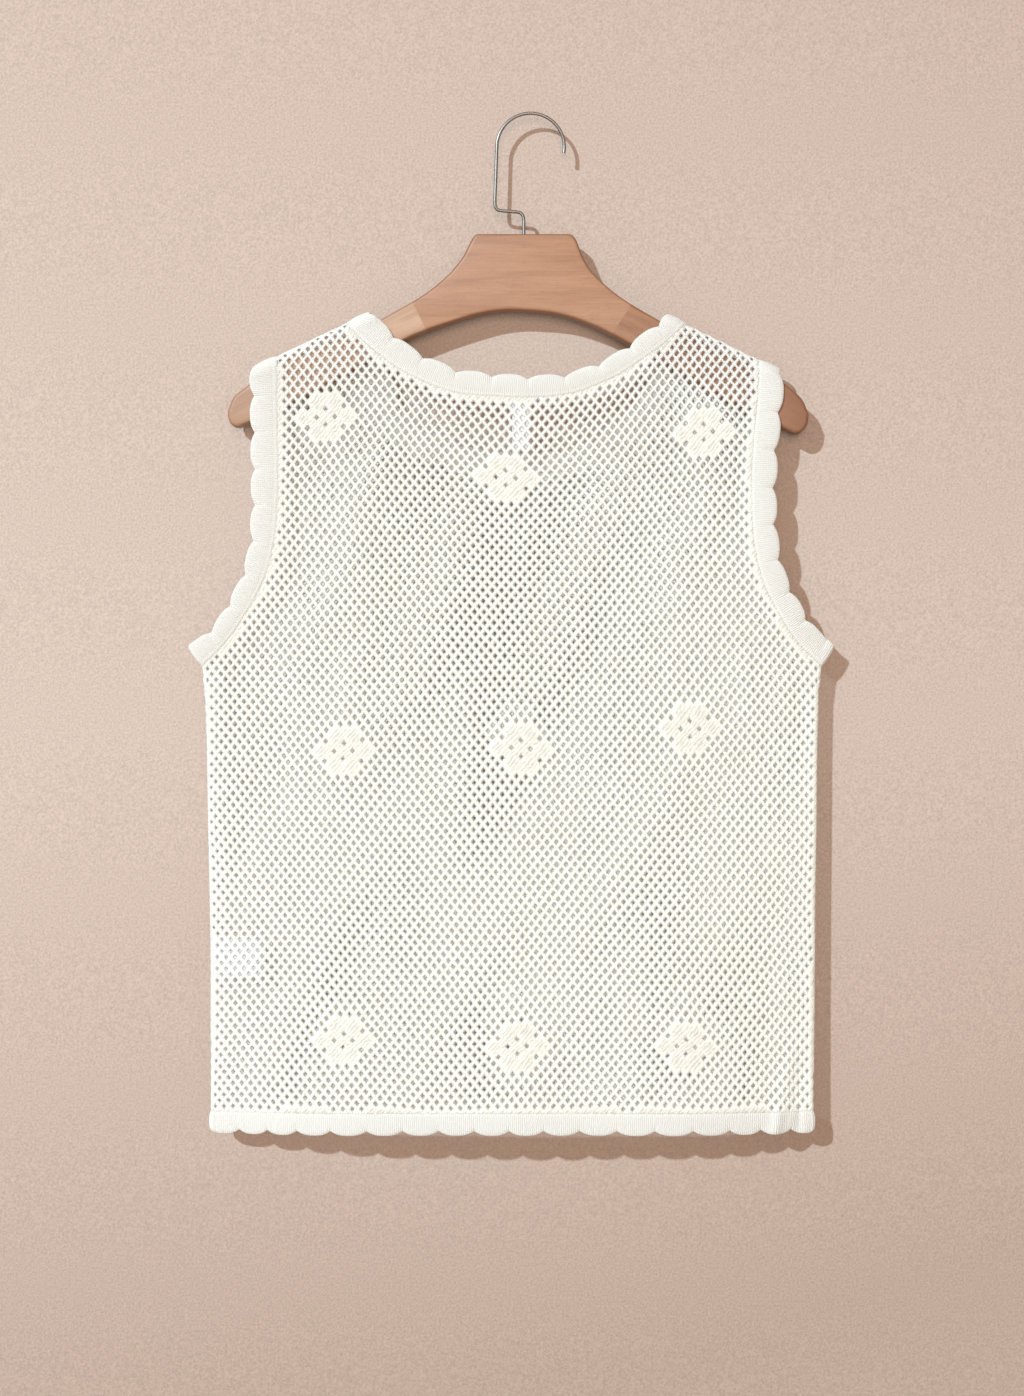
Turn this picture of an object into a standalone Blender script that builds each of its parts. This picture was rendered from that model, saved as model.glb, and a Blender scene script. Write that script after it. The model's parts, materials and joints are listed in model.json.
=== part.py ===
"""A sleeveless net-knit top with scalloped trims, on a wooden hanger with a wire hook.

Metres, +Z up. The origin is the inside top of the hook, where a rail carries it.
The near side (-Y) is the back of the top, and the far side (+Y) is its front.

Cloth is worked out on one tube-like form. A point of cloth has a flat place (x, h): x runs
across, h runs up, and both follow the cloth round its folds at the side seams and over the
hanger's arms. form() bends a flat place into space, and a wall stands off it both ways.
"""

import math

import bmesh
import bpy
from mathutils import Vector

# ---- cloth ----
WALL = 0.0022  # net knit
SEAM_GAP = 0.0003  # between pieces that are sewn together
BAND_PUFF = 0.0008  # how far a trim stands proud of the net
STEP = 0.0055  # between the points along a seam

# ---- shoulder fold, over the hanger's arm ----
FOLD_DEPTH = 0.0079  # half the depth across the fold
FOLD_RISE = 0.0087  # height of its round top
FOLD_RUN = 0.5 * math.pi * 0.0083  # cloth from the spring line up to the ridge
RIDGE_LEFT = -0.1515  # heights of the ridge at the neck seam
RIDGE_RIGHT = -0.1528
NECK_LEFT = -0.1331
NECK_RIGHT = 0.1137
SLOPE_LEFT = 0.472
SLOPE_RIGHT = 0.490

# ---- sides ----
SIDE_ROUND = 0.003  # radius of the fold at a side seam
SIDE_FLAT = 0.5 * math.pi * SIDE_ROUND
SIDE_RUN = 0.16  # distance in which a side opens to the full depth
SIDE_OPENING = 2.2  # how fast it opens at first
ARMHOLE_SPREAD = 1.2  # how fast the form opens above the underarm
TIP, UNDERARM, HEM_SIDE = -0.383, -0.400, -0.7245
SIDES = (  # height, left edge, right edge
    (TIP, -0.2508, 0.2214),
    (UNDERARM, -0.2383, 0.2112),
    (-0.420, -0.2366, 0.2092),
    (-0.455, -0.2351, 0.2083),
    (-0.600, -0.2323, 0.2064),
    (HEM_SIDE, -0.2321, 0.2054),
    (HEM_SIDE - 0.03, -0.2321, 0.2054),
)
BACK, FRONT = -1, 1
SWELL = {BACK: 0.031, FRONT: 0.009}  # depth gained for each metre below the shoulder
SWELL_EASE = 0.05
DRAPES = {  # soft folds: place across, half width, depth at the hem
    BACK: ((-0.150, 0.050, 0.0026), (-0.020, 0.055, 0.0020), (0.115, 0.050, 0.0028)),
    FRONT: ((-0.100, 0.050, 0.0024), (0.050, 0.060, 0.0026)),
}
DRAPE_LENGTH = 0.57

# ---- seams, as seen from the near side: across, height ----
ARMHOLE = (  # left seam, right seam, height
    (-0.1846, 0.1652, -0.208),
    (-0.1840, 0.1617, -0.245),
    (-0.1841, 0.1607, -0.281),
    (-0.1868, 0.1627, -0.313),
    (-0.1940, 0.1687, -0.3384),
    (-0.2056, 0.1792, -0.3600),
    (-0.2208, 0.1937, -0.3817),
)
ARMHOLE_TOP = {-1: -0.1856, 1: 0.1668}
NECKLINE = {
    BACK: (
        (-0.1227, -0.1621),
        (-0.0929, -0.1853),
        (-0.0606, -0.1998),
        (-0.0382, -0.2035),
        (-0.0018, -0.2052),
        (0.0283, -0.2027),
        (0.0469, -0.1962),
        (0.0661, -0.1871),
        (0.0975, -0.1649),
    ),
    FRONT: (
        (-0.1215, -0.1800),
        (-0.1048, -0.2250),
        (-0.0568, -0.2530),
        (-0.0048, -0.2585),
        (0.0452, -0.2500),
        (0.0877, -0.2140),
        (0.1060, -0.1730),
    ),
}
HEM_LIFT = 0.0035  # the hem's middle hangs this much higher than its corners

# ---- scalloped trims: a width is measured to the notches ----
SCALLOP_RISE = 0.0034
SCALLOP_ROUND = 2.6
NECK_BAND = (  # across, width
    (NECK_LEFT, 0.0155),
    (-0.095, 0.0134),
    (-0.010, 0.0116),
    (0.060, 0.0100),
    (NECK_RIGHT, 0.0108),
)
NECK_PITCH, NECK_FIRST = 0.0262, 0.0306
ARMHOLE_BAND = {-1: 0.0150, 1: 0.0138}
ARMHOLE_BAND_LOW = {-1: 0.0098, 1: 0.0122}  # near the underarm
ARMHOLE_LOBES = {-1: (0.0, 9.0, 0.92), 1: (0.5, 8.8, 0.88)}  # first, count, crowding
TIP_WIDTH = 0.0162
HEM_BAND = 0.0112
HEM_NOTCHES = (  # across, from left to right
    *(-0.2104, -0.1895, -0.1679, -0.1434, -0.1174, -0.0916, -0.0657, -0.0405, -0.0155),
    *(0.0090, 0.0347, 0.0613, 0.0886, 0.1163, 0.1429, 0.1658, 0.1881),
)
LOBE_STEPS = 5  # points along each lobe of the hem
TURN = 0.028  # length in which a trim turns to lie along the shoulder ridge
BAND_SECTION = (  # share of the width, offset out of the form
    (0.00, -0.5 * WALL),
    (0.00, 0.5 * WALL),
    (0.45, 0.5 * WALL + BAND_PUFF),
    (1.00, 0.45 * WALL),
    (1.00, -0.35 * WALL),
    (0.45, -0.5 * WALL),
)

# ---- labels: left, right, bottom, top ----
LABEL_WALL = 0.0010
NECK_LABEL = (-0.0135, -0.0005, -0.2444, -0.2062)
CARE_LABEL = (-0.2290, -0.1937, -0.6262, -0.5980)

# ---- panels' mesh ----
COLUMN = 0.032
ROW = 0.030
FOLD_CUTS = 5
SIDE_ROWS = 12

# ---- hanger ----
WOOD = 0.013  # thickness
WOOD_ROUND = 0.003
WOOD_STEP = 0.009  # between the points along its edge
HANGER_TOP = -0.0874
HANGER_CORNER = ((-0.0405, HANGER_TOP - 0.0009), (-0.0375, HANGER_TOP))  # of the neck block
TIP_RIGHT, TIP_LEFT = (0.1990, -0.2285), (-0.2178, -0.2245)  # lowest corners of the arms
HANGER_UPPER_LEFT = (  # from the arm's tip to the neck block
    (-0.2195, -0.2157),
    (-0.2150, -0.2055),
    (-0.2052, -0.1974),
    (-0.1944, -0.1880),
    (-0.1814, -0.1806),
    (-0.1525, -0.1688),
    (-0.1235, -0.1572),
    (-0.0967, -0.1426),
    (-0.0767, -0.1308),
    (-0.0605, -0.1175),
    (-0.0500, -0.1050),
    (-0.0428, -0.0915),
)
HANGER_UPPER_RIGHT = (  # from the neck block to the arm's tip
    (0.0330, -0.0915),
    (0.0392, -0.1065),
    (0.0470, -0.1175),
    (0.0632, -0.1317),
    (0.0826, -0.1440),
    (0.1118, -0.1602),
    (0.1352, -0.1717),
    (0.1616, -0.1828),
    (0.1752, -0.1900),
    (0.1848, -0.1965),
    (0.1965, -0.2070),
    (0.2016, -0.2185),
)
HANGER_LOWER = (  # from the right tip back to the left tip
    (0.1907, -0.2322),
    (0.1502, -0.2125),
    (0.1095, -0.1893),
    (0.0720, -0.1679),
    (0.0460, -0.1545),
    (0.0205, -0.1460),
    (-0.0056, -0.1432),
    (-0.0229, -0.1434),
    (-0.0426, -0.1471),
    (-0.0780, -0.1587),
    (-0.0967, -0.1676),
    (-0.1355, -0.1900),
    (-0.1752, -0.2115),
    (-0.2113, -0.2274),
)
SNAP = 0.00002  # points closer than this are one
JOINT_LEFT = ((-0.0860, -0.1366), (-0.0765, -0.1557))
JOINT_RIGHT = ((0.0733, -0.1382), (0.0600, -0.1583))

# ---- hook ----
WIRE = 0.0025
HOOK_RADIUS = 0.0245  # of the wire's centre line
STEM_X = -0.0050
BORE = WIRE + 2 * SEAM_GAP
BORE_DEPTH = 0.020
SHANK_FOOT = (-0.0259, -0.0640)
JOG = ((-0.0247, -0.0682), (-0.0210, -0.0696), (-0.0095, -0.0706), (-0.0062, -0.0723))


# ---- numbers ----
def between(table, at, column):
    """The column's value at a height, by straight lines between the table's rows."""
    rows = sorted(table)
    for low, high in zip(rows, rows[1:]):
        if at <= high[0] or high is rows[-1]:
            share = (at - low[0]) / (high[0] - low[0])
            return low[column] + share * (high[column] - low[column])


def smooth(points, step=STEP):
    """A Catmull-Rom curve through points, as a list of points about one step apart."""
    ends = [2 * points[0] - points[1], *points, 2 * points[-1] - points[-2]]
    line = []
    for a, b, c, d in zip(ends, ends[1:], ends[2:], ends[3:]):
        count = max(2, round((c - b).length / step))
        for i in range(count):
            t = i / count
            bend = (2 * a - 5 * b + 4 * c - d) * t * t + (3 * b - a - 3 * c + d) * t**3
            line.append(0.5 * (2 * b + (c - a) * t + bend))
    return [*line, points[-1]]


def along(line):
    """The distance of each point of a line from its start."""
    total = [0.0]
    for a, b in zip(line, line[1:]):
        total.append(total[-1] + (b - a).length)
    return total


def ease(share):
    share = min(1.0, max(0.0, share))
    return share * share * (3 - 2 * share)


# ---- the form that all the cloth follows ----
def edges(height):
    """The left and right edges of the form at a height. Above the tips it spreads out."""
    spread = ARMHOLE_SPREAD * max(0.0, height - TIP)
    height = min(height, TIP)
    return between(SIDES, height, 1) - spread, between(SIDES, height, 2) + spread


def ridge(x):
    """The height of the shoulder ridge, and which way it falls."""
    if x < 0.5 * (NECK_LEFT + NECK_RIGHT):
        return RIDGE_LEFT + SLOPE_LEFT * (x - NECK_LEFT), SLOPE_LEFT
    return RIDGE_RIGHT - SLOPE_RIGHT * (x - NECK_RIGHT), -SLOPE_RIGHT


def flat_ridge(x):
    """The flat height of the ridge: the cloth's run up the fold counts in full."""
    return ridge(x)[0] - FOLD_RISE + FOLD_RUN


def depth(side, x, height, from_edge):
    """How far the cloth stands from the middle plane."""
    drop = max(0.0, ridge(x)[0] - FOLD_RISE - height)
    full = FOLD_DEPTH + SWELL[side] * drop * drop / (drop + SWELL_EASE)
    for place, half_width, swell in DRAPES[side]:
        across = (x - place) / half_width
        full += swell * math.exp(-across * across) * ease(drop / DRAPE_LENGTH)
    opening = 1 - (1 - min(1.0, from_edge / SIDE_RUN)) ** SIDE_OPENING
    return SIDE_ROUND + (full - SIDE_ROUND) * opening


def form(side, x, h):
    """The place in space of the flat place (x, h) on one side of the form."""
    spring = ridge(x)[0] - FOLD_RISE
    turn = max(0.0, h - spring) / FOLD_RUN * 0.5 * math.pi
    height = min(h, spring) + FOLD_RISE * math.sin(turn)
    left, right = edges(height)
    middle, half = 0.5 * (left + right), 0.5 * (right - left)
    sign = 1 if x > middle else -1
    from_edge = half + SIDE_FLAT - SIDE_ROUND - abs(x - middle)
    if from_edge < SIDE_FLAT:
        angle = from_edge / SIDE_ROUND
        seen = middle + sign * (half - SIDE_ROUND * (1 - math.cos(angle)))
        return Vector((seen, side * SIDE_ROUND * math.sin(angle), height))
    out = depth(side, x, height, from_edge - SIDE_FLAT) * math.cos(turn)
    return Vector((x, side * out, height))


def outward(side, x, h, reach=0.0002):
    """The direction out of the form at a flat place."""
    across = form(side, x + reach, h) - form(side, x - reach, h)
    up = form(side, x, h + reach) - form(side, x, h - reach)
    return (across.cross(up) * -side).normalized()


def flatten(x, height):
    """The flat place of a point seen at a height, which counts the run up the fold."""
    spring = ridge(x)[0] - FOLD_RISE
    rise = min(1.0, max(0.0, (height - spring) / FOLD_RISE))
    return Vector((x, min(height, spring) + FOLD_RUN * math.asin(rise) / (0.5 * math.pi)))


def flat_edges(height):
    """The flat left and right edges at a height at or below the underarm."""
    left, right = edges(min(height, UNDERARM))
    more = SIDE_FLAT - SIDE_ROUND
    return left - more, right + more


def hem(x):
    """The height of the seam between the net and the hem trim."""
    left, right = flat_edges(HEM_SIDE)
    across = (2 * x - left - right) / (right - left)
    return HEM_SIDE + HEM_LIFT * (1 - across * across)


def kept_clear(place):
    """A flat place moved half a seam gap in from the side seams and the ridge."""
    half_gap = 0.5 * SEAM_GAP
    x, h = place
    h = min(h, flat_ridge(x) - half_gap)
    left, right = edges(h)
    more = SIDE_FLAT - SIDE_ROUND - half_gap
    return Vector((min(max(x, left - more), right + more), h))


# ---- seams, as flat lines with the direction in which their trim lies ----
def armhole_seam(hand):
    """From the underarm up to the ridge, with close steps round the fold at the side."""
    column = 0 if hand < 0 else 1
    x_top = ARMHOLE_TOP[hand]
    foot = edges(UNDERARM)[column] + hand * (SIDE_FLAT - SIDE_ROUND)
    points = [Vector((x_top, flat_ridge(x_top)))]
    points += [flatten(row[column], row[2]) for row in ARMHOLE]
    points.append(Vector((foot, UNDERARM)))
    line = smooth(points[::-1])
    close = [line[0].lerp(line[1], share) for share in (0.25, 0.5, 0.75)]
    return [line[0], *close, *line[1:]]


def neck_seam(side):
    """From the left end of the ridge to the right end."""
    ends = [Vector((x, flat_ridge(x))) for x in (NECK_LEFT, NECK_RIGHT)]
    return smooth([ends[0], *(flatten(*row) for row in NECKLINE[side]), ends[1]])


def hem_seam():
    """From one side seam to the other, with close steps round the folds at the sides."""
    left, right = flat_edges(HEM_SIDE)
    near = [0.5 * SEAM_GAP, 0.5 * SIDE_FLAT, SIDE_FLAT]
    stops = [left + SIDE_FLAT, *HEM_NOTCHES, right - SIDE_FLAT]
    places = [left + distance for distance in near]
    for a, b in zip(stops, stops[1:]):
        places += [a + (b - a) * i / LOBE_STEPS for i in range(1, LOBE_STEPS + 1)]
    places += [right - distance for distance in reversed(near[:-1])]
    return [Vector((x, hem(x))) for x in places]


def hem_phase(x):
    """Which lobe of the hem a place is in, and how far along it."""
    left, right = flat_edges(HEM_SIDE)
    stops = [left, *HEM_NOTCHES, right]
    for i, (a, b) in enumerate(zip(stops, stops[1:])):
        if x <= b or b == right:
            return i + (x - a) / (b - a)


def square_to(line, turn):
    """The direction square to a line at each of its points, to the side that turn gives."""
    ends = [line[0], *line, line[-1]]
    found = []
    for before, after in zip(ends, ends[2:]):
        run = (after - before).normalized()
        found.append(Vector((-run.y, run.x)) * turn)
    return found


def turned(directions, distances, first=None, last=None):
    """Directions turned to meet a given one over a length at either end."""
    result = []
    for direction, distance in zip(directions, distances):
        if first is not None:
            direction = first.lerp(direction, ease(distance / TURN))
        if last is not None:
            direction = last.lerp(direction, ease((distances[-1] - distance) / TURN))
        result.append(direction.normalized())
    return result


def down_ridge(x, to_the_right):
    fall = ridge(x)[1]
    return Vector((1, fall)).normalized() * (1 if to_the_right else -1)


def armhole_directions(hand, line):
    """Out over the arm at the ridge, and out along the fold at the underarm."""
    column = 1 if hand < 0 else 2
    tip = Vector((between(SIDES, TIP, column), TIP))
    foot = Vector((between(SIDES, UNDERARM, column), UNDERARM))
    at_ridge = down_ridge(line[-1].x, hand > 0)
    square = square_to(line, -hand)
    return turned(square, along(line), (tip - foot).normalized(), at_ridge)


def neck_directions(line):
    """Square to the neckline, and along the ridge at both ends."""
    first = down_ridge(line[0].x, True)
    last = down_ridge(line[-1].x, False)
    return turned(square_to(line, 1), along(line), first, last)


# ---- meshes ----
def material(name, colour, roughness, metallic=0.0):
    made = bpy.data.materials.new(name)
    made.use_nodes = True
    shader = made.node_tree.nodes["Principled BSDF"]
    shader.inputs["Base Color"].default_value = (*colour, 1)
    shader.inputs["Roughness"].default_value = roughness
    shader.inputs["Metallic"].default_value = metallic
    return made


def place(name, bm, finish, collection, angle=math.radians(40)):
    """Closes a bmesh into a named object with its faces pointing out."""
    bmesh.ops.recalc_face_normals(bm, faces=bm.faces)
    mesh = bpy.data.meshes.new(name)
    bm.to_mesh(mesh)
    bm.free()
    mesh.shade_smooth()
    mesh.set_sharp_from_angle(angle=angle)
    mesh.materials.append(finish)
    made = bpy.data.objects.new(name, mesh)
    collection.objects.link(made)
    return made


def loft(rings, closed):
    """A skin through rings with the same number of points."""
    bm = bmesh.new()
    rows = [[bm.verts.new(point) for point in ring] for ring in rings]
    pairs = list(zip(rows, rows[1:]))
    if closed:
        pairs.append((rows[-1], rows[0]))
    for a, b in pairs:
        for i in range(len(a)):
            j = (i + 1) % len(a)
            bm.faces.new((a[i], a[j], b[j], b[i]))
    if not closed:
        bm.faces.new(rows[0])
        bm.faces.new(rows[-1])
    return bm


def lobe(phase):
    """A scallop's rise: nothing at a notch, and a round top half way to the next."""
    share = phase % 1.0
    return SCALLOP_RISE * (1 - abs(2 * share - 1) ** SCALLOP_ROUND)


def neck_width(x):
    return between(NECK_BAND, x, 1)


def armhole_width(hand, share):
    """The armhole trim's width at its notches, from the underarm up to the ridge."""
    low, high = ARMHOLE_BAND_LOW[hand], ARMHOLE_BAND[hand]
    return low + (high - low) * ease(1.5 * share)


def band_ring(side, seam, direction, width):
    """One section of a trim, from its seam to its scalloped edge."""
    start = seam + direction * 0.5 * SEAM_GAP
    ring = []
    for share, off in BAND_SECTION:
        x, h = start + direction * width * share
        ring.append(form(side, x, h) + outward(side, x, h) * off)
    return ring


def cut_into_cells(outline):
    """A flat face with this outline, cut into columns, rows and strips along the folds."""
    bm = bmesh.new()

    def level(x, h):
        left, right = flat_edges(h)
        return Vector(((2 * x - left - right) / (right - left), h, 0))

    def cut(co, no):
        geometry = bm.verts[:] + bm.edges[:] + bm.faces[:]
        bmesh.ops.bisect_plane(bm, geom=geometry, dist=0.0004, plane_co=co, plane_no=no)

    bm.faces.new([bm.verts.new(level(x, h)) for x, h in outline])
    left, right = flat_edges(UNDERARM)
    half = 0.5 * (right - left)
    side_cuts = [1 - share * SIDE_FLAT / half for share in (0.5, 1.0)]
    count = round(2 * half / COLUMN)
    inner = [side_cuts[1] * (2 * i / count - 1) for i in range(1, count)]
    for across in [*side_cuts, *(-share for share in side_cuts), *inner]:
        cut((across, 0, 0), (1, 0, 0))
    low, high = min(h for _, h in outline), max(h for _, h in outline)
    rows = round((high - low) / ROW)
    for i in range(1, rows):
        cut((0, low + (high - low) * i / rows, 0), (0, 1, 0))
    for x in (NECK_LEFT, NECK_RIGHT):
        fall = ridge(x)[1]
        for i in range(1, FOLD_CUTS + 1):
            below = FOLD_RUN * i / FOLD_CUTS
            cut(level(x, flat_ridge(x) - below), (-fall * half, 1, 0))
    return bm


def wall(flat, place_of, out, inside):
    """A closed wall on both sides of a flat mesh that place_of puts in space."""
    bm = bmesh.new()
    outer, inner = {}, {}
    for vert in flat.verts:
        point, normal = place_of(vert.co)
        outer[vert] = bm.verts.new(point + normal * out)
        inner[vert] = bm.verts.new(point - normal * inside)
    for face in flat.faces:
        bm.faces.new([outer[vert] for vert in face.verts])
        bm.faces.new([inner[vert] for vert in reversed(face.verts)])
    for edge in flat.edges:
        if edge.is_boundary:
            a, b = edge.verts
            bm.faces.new((outer[a], outer[b], inner[b], inner[a]))
    flat.free()
    return bm


# ---- pieces ----
def panel(name, side, finish, collection):
    """The net of one side, from the hem seam to the ridges, between the trims."""
    half_gap = 0.5 * SEAM_GAP
    outline = [Vector((x, h + half_gap)) for x, h in hem_seam()]
    for hand in (1, -1):
        seam = armhole_seam(hand)
        directions = armhole_directions(hand, seam)
        inner = [p - d * SEAM_GAP for p, d in zip(seam, directions)]
        step = (HEM_SIDE - UNDERARM) / SIDE_ROWS
        heights = [UNDERARM + step * i for i in range(1, SIDE_ROWS)]
        column = 0 if hand < 0 else 1
        sides = [Vector((flat_edges(h)[column], h)) for h in heights]
        if hand > 0:
            outline += sides[::-1] + inner
            seam = neck_seam(side)[::-1]
            directions = neck_directions(seam[::-1])[::-1]
            outline += [p - d * half_gap for p, d in zip(seam, directions)]
        else:
            outline += inner[::-1] + sides
    outline = [kept_clear(point) for point in outline]

    def place_of(co):
        left, right = flat_edges(co.y)
        x = 0.5 * (left + right + co.x * (right - left))
        return form(side, x, co.y), outward(side, x, co.y)

    bm = wall(cut_into_cells(outline), place_of, 0.5 * WALL, 0.5 * WALL)
    return place(name, bm, finish, collection)


def neck_trim(name, side, finish, collection):
    """Half of the neck trim, from ridge to ridge."""
    seam = neck_seam(side)
    directions = neck_directions(seam)
    notches = along([p + d * neck_width(p.x) for p, d in zip(seam, directions)])
    rings = []
    for point, direction, distance in zip(seam, directions, notches):
        from_left = distance if side == BACK else -distance
        width = neck_width(point.x) + lobe((from_left - NECK_FIRST) / NECK_PITCH)
        rings.append(band_ring(side, kept_clear(point), direction, width))
    return place(name, loft(rings, closed=False), finish, collection)


def armhole_trim(name, hand, finish, collection):
    """A ring: up the back from the underarm, over the ridge and down the front."""
    seam = armhole_seam(hand)
    directions = armhole_directions(hand, seam)
    notches = along([p + d * ARMHOLE_BAND[hand] for p, d in zip(seam, directions)])
    first, count, crowding = ARMHOLE_LOBES[hand]
    rings = []
    for side in (BACK, FRONT):
        half = []
        for point, direction, distance in zip(seam, directions, notches):
            share = distance / notches[-1]
            width = armhole_width(hand, share) + lobe(first + count * share**crowding)
            width = TIP_WIDTH + (width - TIP_WIDTH) * ease(distance / TURN)
            half.append(band_ring(side, point, direction, width))
        rings += half if side == BACK else half[-2:0:-1]
    return place(name, loft(rings, closed=True), finish, collection)


def hem_trim(name, side, finish, collection):
    """Half of the hem trim, from side seam to side seam."""
    rings = []
    for point in hem_seam():
        width = HEM_BAND + lobe(hem_phase(point.x))
        rings.append(band_ring(side, point, Vector((0, -1)), width))
    return place(name, loft(rings, closed=False), finish, collection)


def label(name, box, finish, collection):
    """A blank label that lies inside the back, just clear of the net."""
    left, right, bottom, top = box
    flat = bmesh.new()
    bmesh.ops.create_grid(flat, x_segments=3, y_segments=4, size=0.5)
    inside = 0.5 * WALL + SEAM_GAP + 0.5 * LABEL_WALL

    def place_of(co):
        x = left + (right - left) * (co.x + 0.5)
        h = bottom + (top - bottom) * (co.y + 0.5)
        normal = outward(BACK, x, h)
        return form(BACK, x, h) - normal * inside, normal

    bm = wall(flat, place_of, 0.5 * LABEL_WALL, 0.5 * LABEL_WALL)
    return place(name, bm, finish, collection)


def hanger_blank(finish):
    """The whole hanger as one rounded board, before it is parted at its glue joints."""
    outline = smooth([Vector(point) for point in HANGER_UPPER_LEFT], WOOD_STEP)
    outline += [Vector(point) for point in HANGER_CORNER]
    outline += [Vector((2 * STEM_X - x, z)) for x, z in reversed(HANGER_CORNER)]
    outline += smooth([Vector(point) for point in HANGER_UPPER_RIGHT], WOOD_STEP)
    outline.append(Vector(TIP_RIGHT))
    outline += smooth([Vector(point) for point in HANGER_LOWER], WOOD_STEP)
    outline.append(Vector(TIP_LEFT))
    curve = bpy.data.curves.new("hanger_outline", "CURVE")
    curve.dimensions = "2D"
    curve.fill_mode = "BOTH"
    curve.extrude = 0.5 * WOOD - WOOD_ROUND
    curve.bevel_depth = WOOD_ROUND
    curve.bevel_resolution = 1
    curve.offset = -WOOD_ROUND
    spline = curve.splines.new("POLY")
    spline.points.add(len(outline) - 1)
    for point, (x, z) in zip(spline.points, outline):
        point.co = (x, z, 0, 1)
    spline.use_cyclic_u = True
    guide = bpy.data.objects.new("hanger_outline", curve)
    guide.rotation_euler.x = 0.5 * math.pi
    bpy.context.scene.collection.objects.link(guide)
    bpy.context.view_layer.update()
    graph = bpy.context.evaluated_depsgraph_get()
    blank = bpy.data.meshes.new_from_object(guide.evaluated_get(graph))
    blank.transform(guide.matrix_world)
    bpy.data.objects.remove(guide)
    return blank


def hanger_piece(name, blank, cuts, finish, collection):
    """The stretch of the hanger between its glue joints: cuts are (joint, kept side)."""
    bm = bmesh.new()
    bm.from_mesh(blank)
    bmesh.ops.remove_doubles(bm, verts=bm.verts, dist=SNAP)
    for (top, foot), kept in cuts:
        run = Vector((foot[0] - top[0], 0, foot[1] - top[1])).normalized()
        normal = Vector((-run.z, 0, run.x)) * -kept
        middle = Vector((top[0], 0, top[1])) - normal * 0.5 * SEAM_GAP
        geometry = bm.verts[:] + bm.edges[:] + bm.faces[:]
        cut = bmesh.ops.bisect_plane(
            bm, geom=geometry, dist=SNAP, plane_co=middle, plane_no=normal, clear_outer=True
        )
        rim = [item for item in cut["geom_cut"] if isinstance(item, bmesh.types.BMEdge)]
        bmesh.ops.holes_fill(bm, edges=rim, sides=0)
    return place(name, bm, finish, collection)


def bore(block, cutters):
    """The hole that takes the hook's stem."""
    bpy.ops.mesh.primitive_cylinder_add(
        vertices=16,
        radius=0.5 * BORE,
        depth=2 * BORE_DEPTH,
        location=(STEM_X, 0, HANGER_TOP),
    )
    cutter = bpy.context.object
    cutter.name = "stem_bore"
    cutter.hide_render = True
    cutter.display_type = "WIRE"
    for home in list(cutter.users_collection):
        home.objects.unlink(cutter)
    cutters.objects.link(cutter)
    cut = block.modifiers.new("stem bore", "BOOLEAN")
    cut.operation = "DIFFERENCE"
    cut.object = cutter


def hook(finish, collection):
    """One bent wire: stem, jog, shank and a round hook."""
    centre = -(HOOK_RADIUS - 0.5 * WIRE)
    foot = HANGER_TOP - BORE_DEPTH + SEAM_GAP
    line = [Vector((STEM_X, foot)), Vector((STEM_X, HANGER_TOP)), Vector((STEM_X, -0.0765))]
    line += [Vector(point) for point in reversed(JOG)]
    line.append(Vector(SHANK_FOOT))
    for degrees in range(168, -15, -9):
        angle = math.radians(degrees)
        reach = Vector((math.cos(angle), math.sin(angle)))
        line.append(Vector((0, centre)) + reach * HOOK_RADIUS)
    curve = bpy.data.curves.new("hook", "CURVE")
    curve.dimensions = "3D"
    curve.bevel_depth = 0.5 * WIRE
    curve.bevel_resolution = 2
    curve.use_fill_caps = True
    spline = curve.splines.new("POLY")
    spline.points.add(len(line) - 1)
    for point, (x, z) in zip(spline.points, line):
        point.co = (x, 0, z, 1)
    curve.materials.append(finish)
    made = bpy.data.objects.new("hook", curve)
    collection.objects.link(made)
    return made


def main():
    for old in list(bpy.data.objects):
        bpy.data.objects.remove(old)
    parts = bpy.data.collections.new("crochet_top_on_hanger")
    cutters = bpy.data.collections.new("cutters")
    bpy.context.scene.collection.children.link(parts)
    bpy.context.scene.collection.children.link(cutters)

    net = material("ivory net knit", (0.86, 0.84, 0.79), 0.85)
    trim = material("ivory scalloped knit", (0.89, 0.87, 0.81), 0.8)
    tape = material("white label tape", (0.87, 0.88, 0.90), 0.6)
    beech = material("beech", (0.60, 0.34, 0.20), 0.5)
    steel = material("steel wire", (0.60, 0.59, 0.58), 0.3, 1.0)

    panel("back_panel", BACK, net, parts)
    panel("front_panel", FRONT, net, parts)
    neck_trim("neck_trim_back", BACK, trim, parts)
    neck_trim("neck_trim_front", FRONT, trim, parts)
    armhole_trim("armhole_trim_left", -1, trim, parts)
    armhole_trim("armhole_trim_right", 1, trim, parts)
    hem_trim("hem_trim_back", BACK, trim, parts)
    hem_trim("hem_trim_front", FRONT, trim, parts)
    label("neck_label", NECK_LABEL, tape, parts)
    label("care_label", CARE_LABEL, tape, parts)

    blank = hanger_blank(beech)
    centre = hanger_piece(
        "hanger_centre", blank, ((JOINT_LEFT, 1), (JOINT_RIGHT, -1)), beech, parts
    )
    hanger_piece("hanger_arm_left", blank, ((JOINT_LEFT, -1),), beech, parts)
    hanger_piece("hanger_arm_right", blank, ((JOINT_RIGHT, 1),), beech, parts)
    bpy.data.meshes.remove(blank)
    bore(centre, cutters)
    hook(steel, parts)


main()
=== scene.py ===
# %% [markdown]
# # A net-knit top on a wooden hanger
# The top is sleeveless and knitted in ivory cotton: two net panels with flowers worked into
# them, and dense trims with scalloped edges at the neck, the armholes and the hem. It hangs
# from a bowed beech hanger with a steel hook. The near side is the back of the top.
#
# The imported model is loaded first. It is a fixed frame: every piece made here sits where its
# solid is, and rides on the same body.

import json
import math

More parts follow.
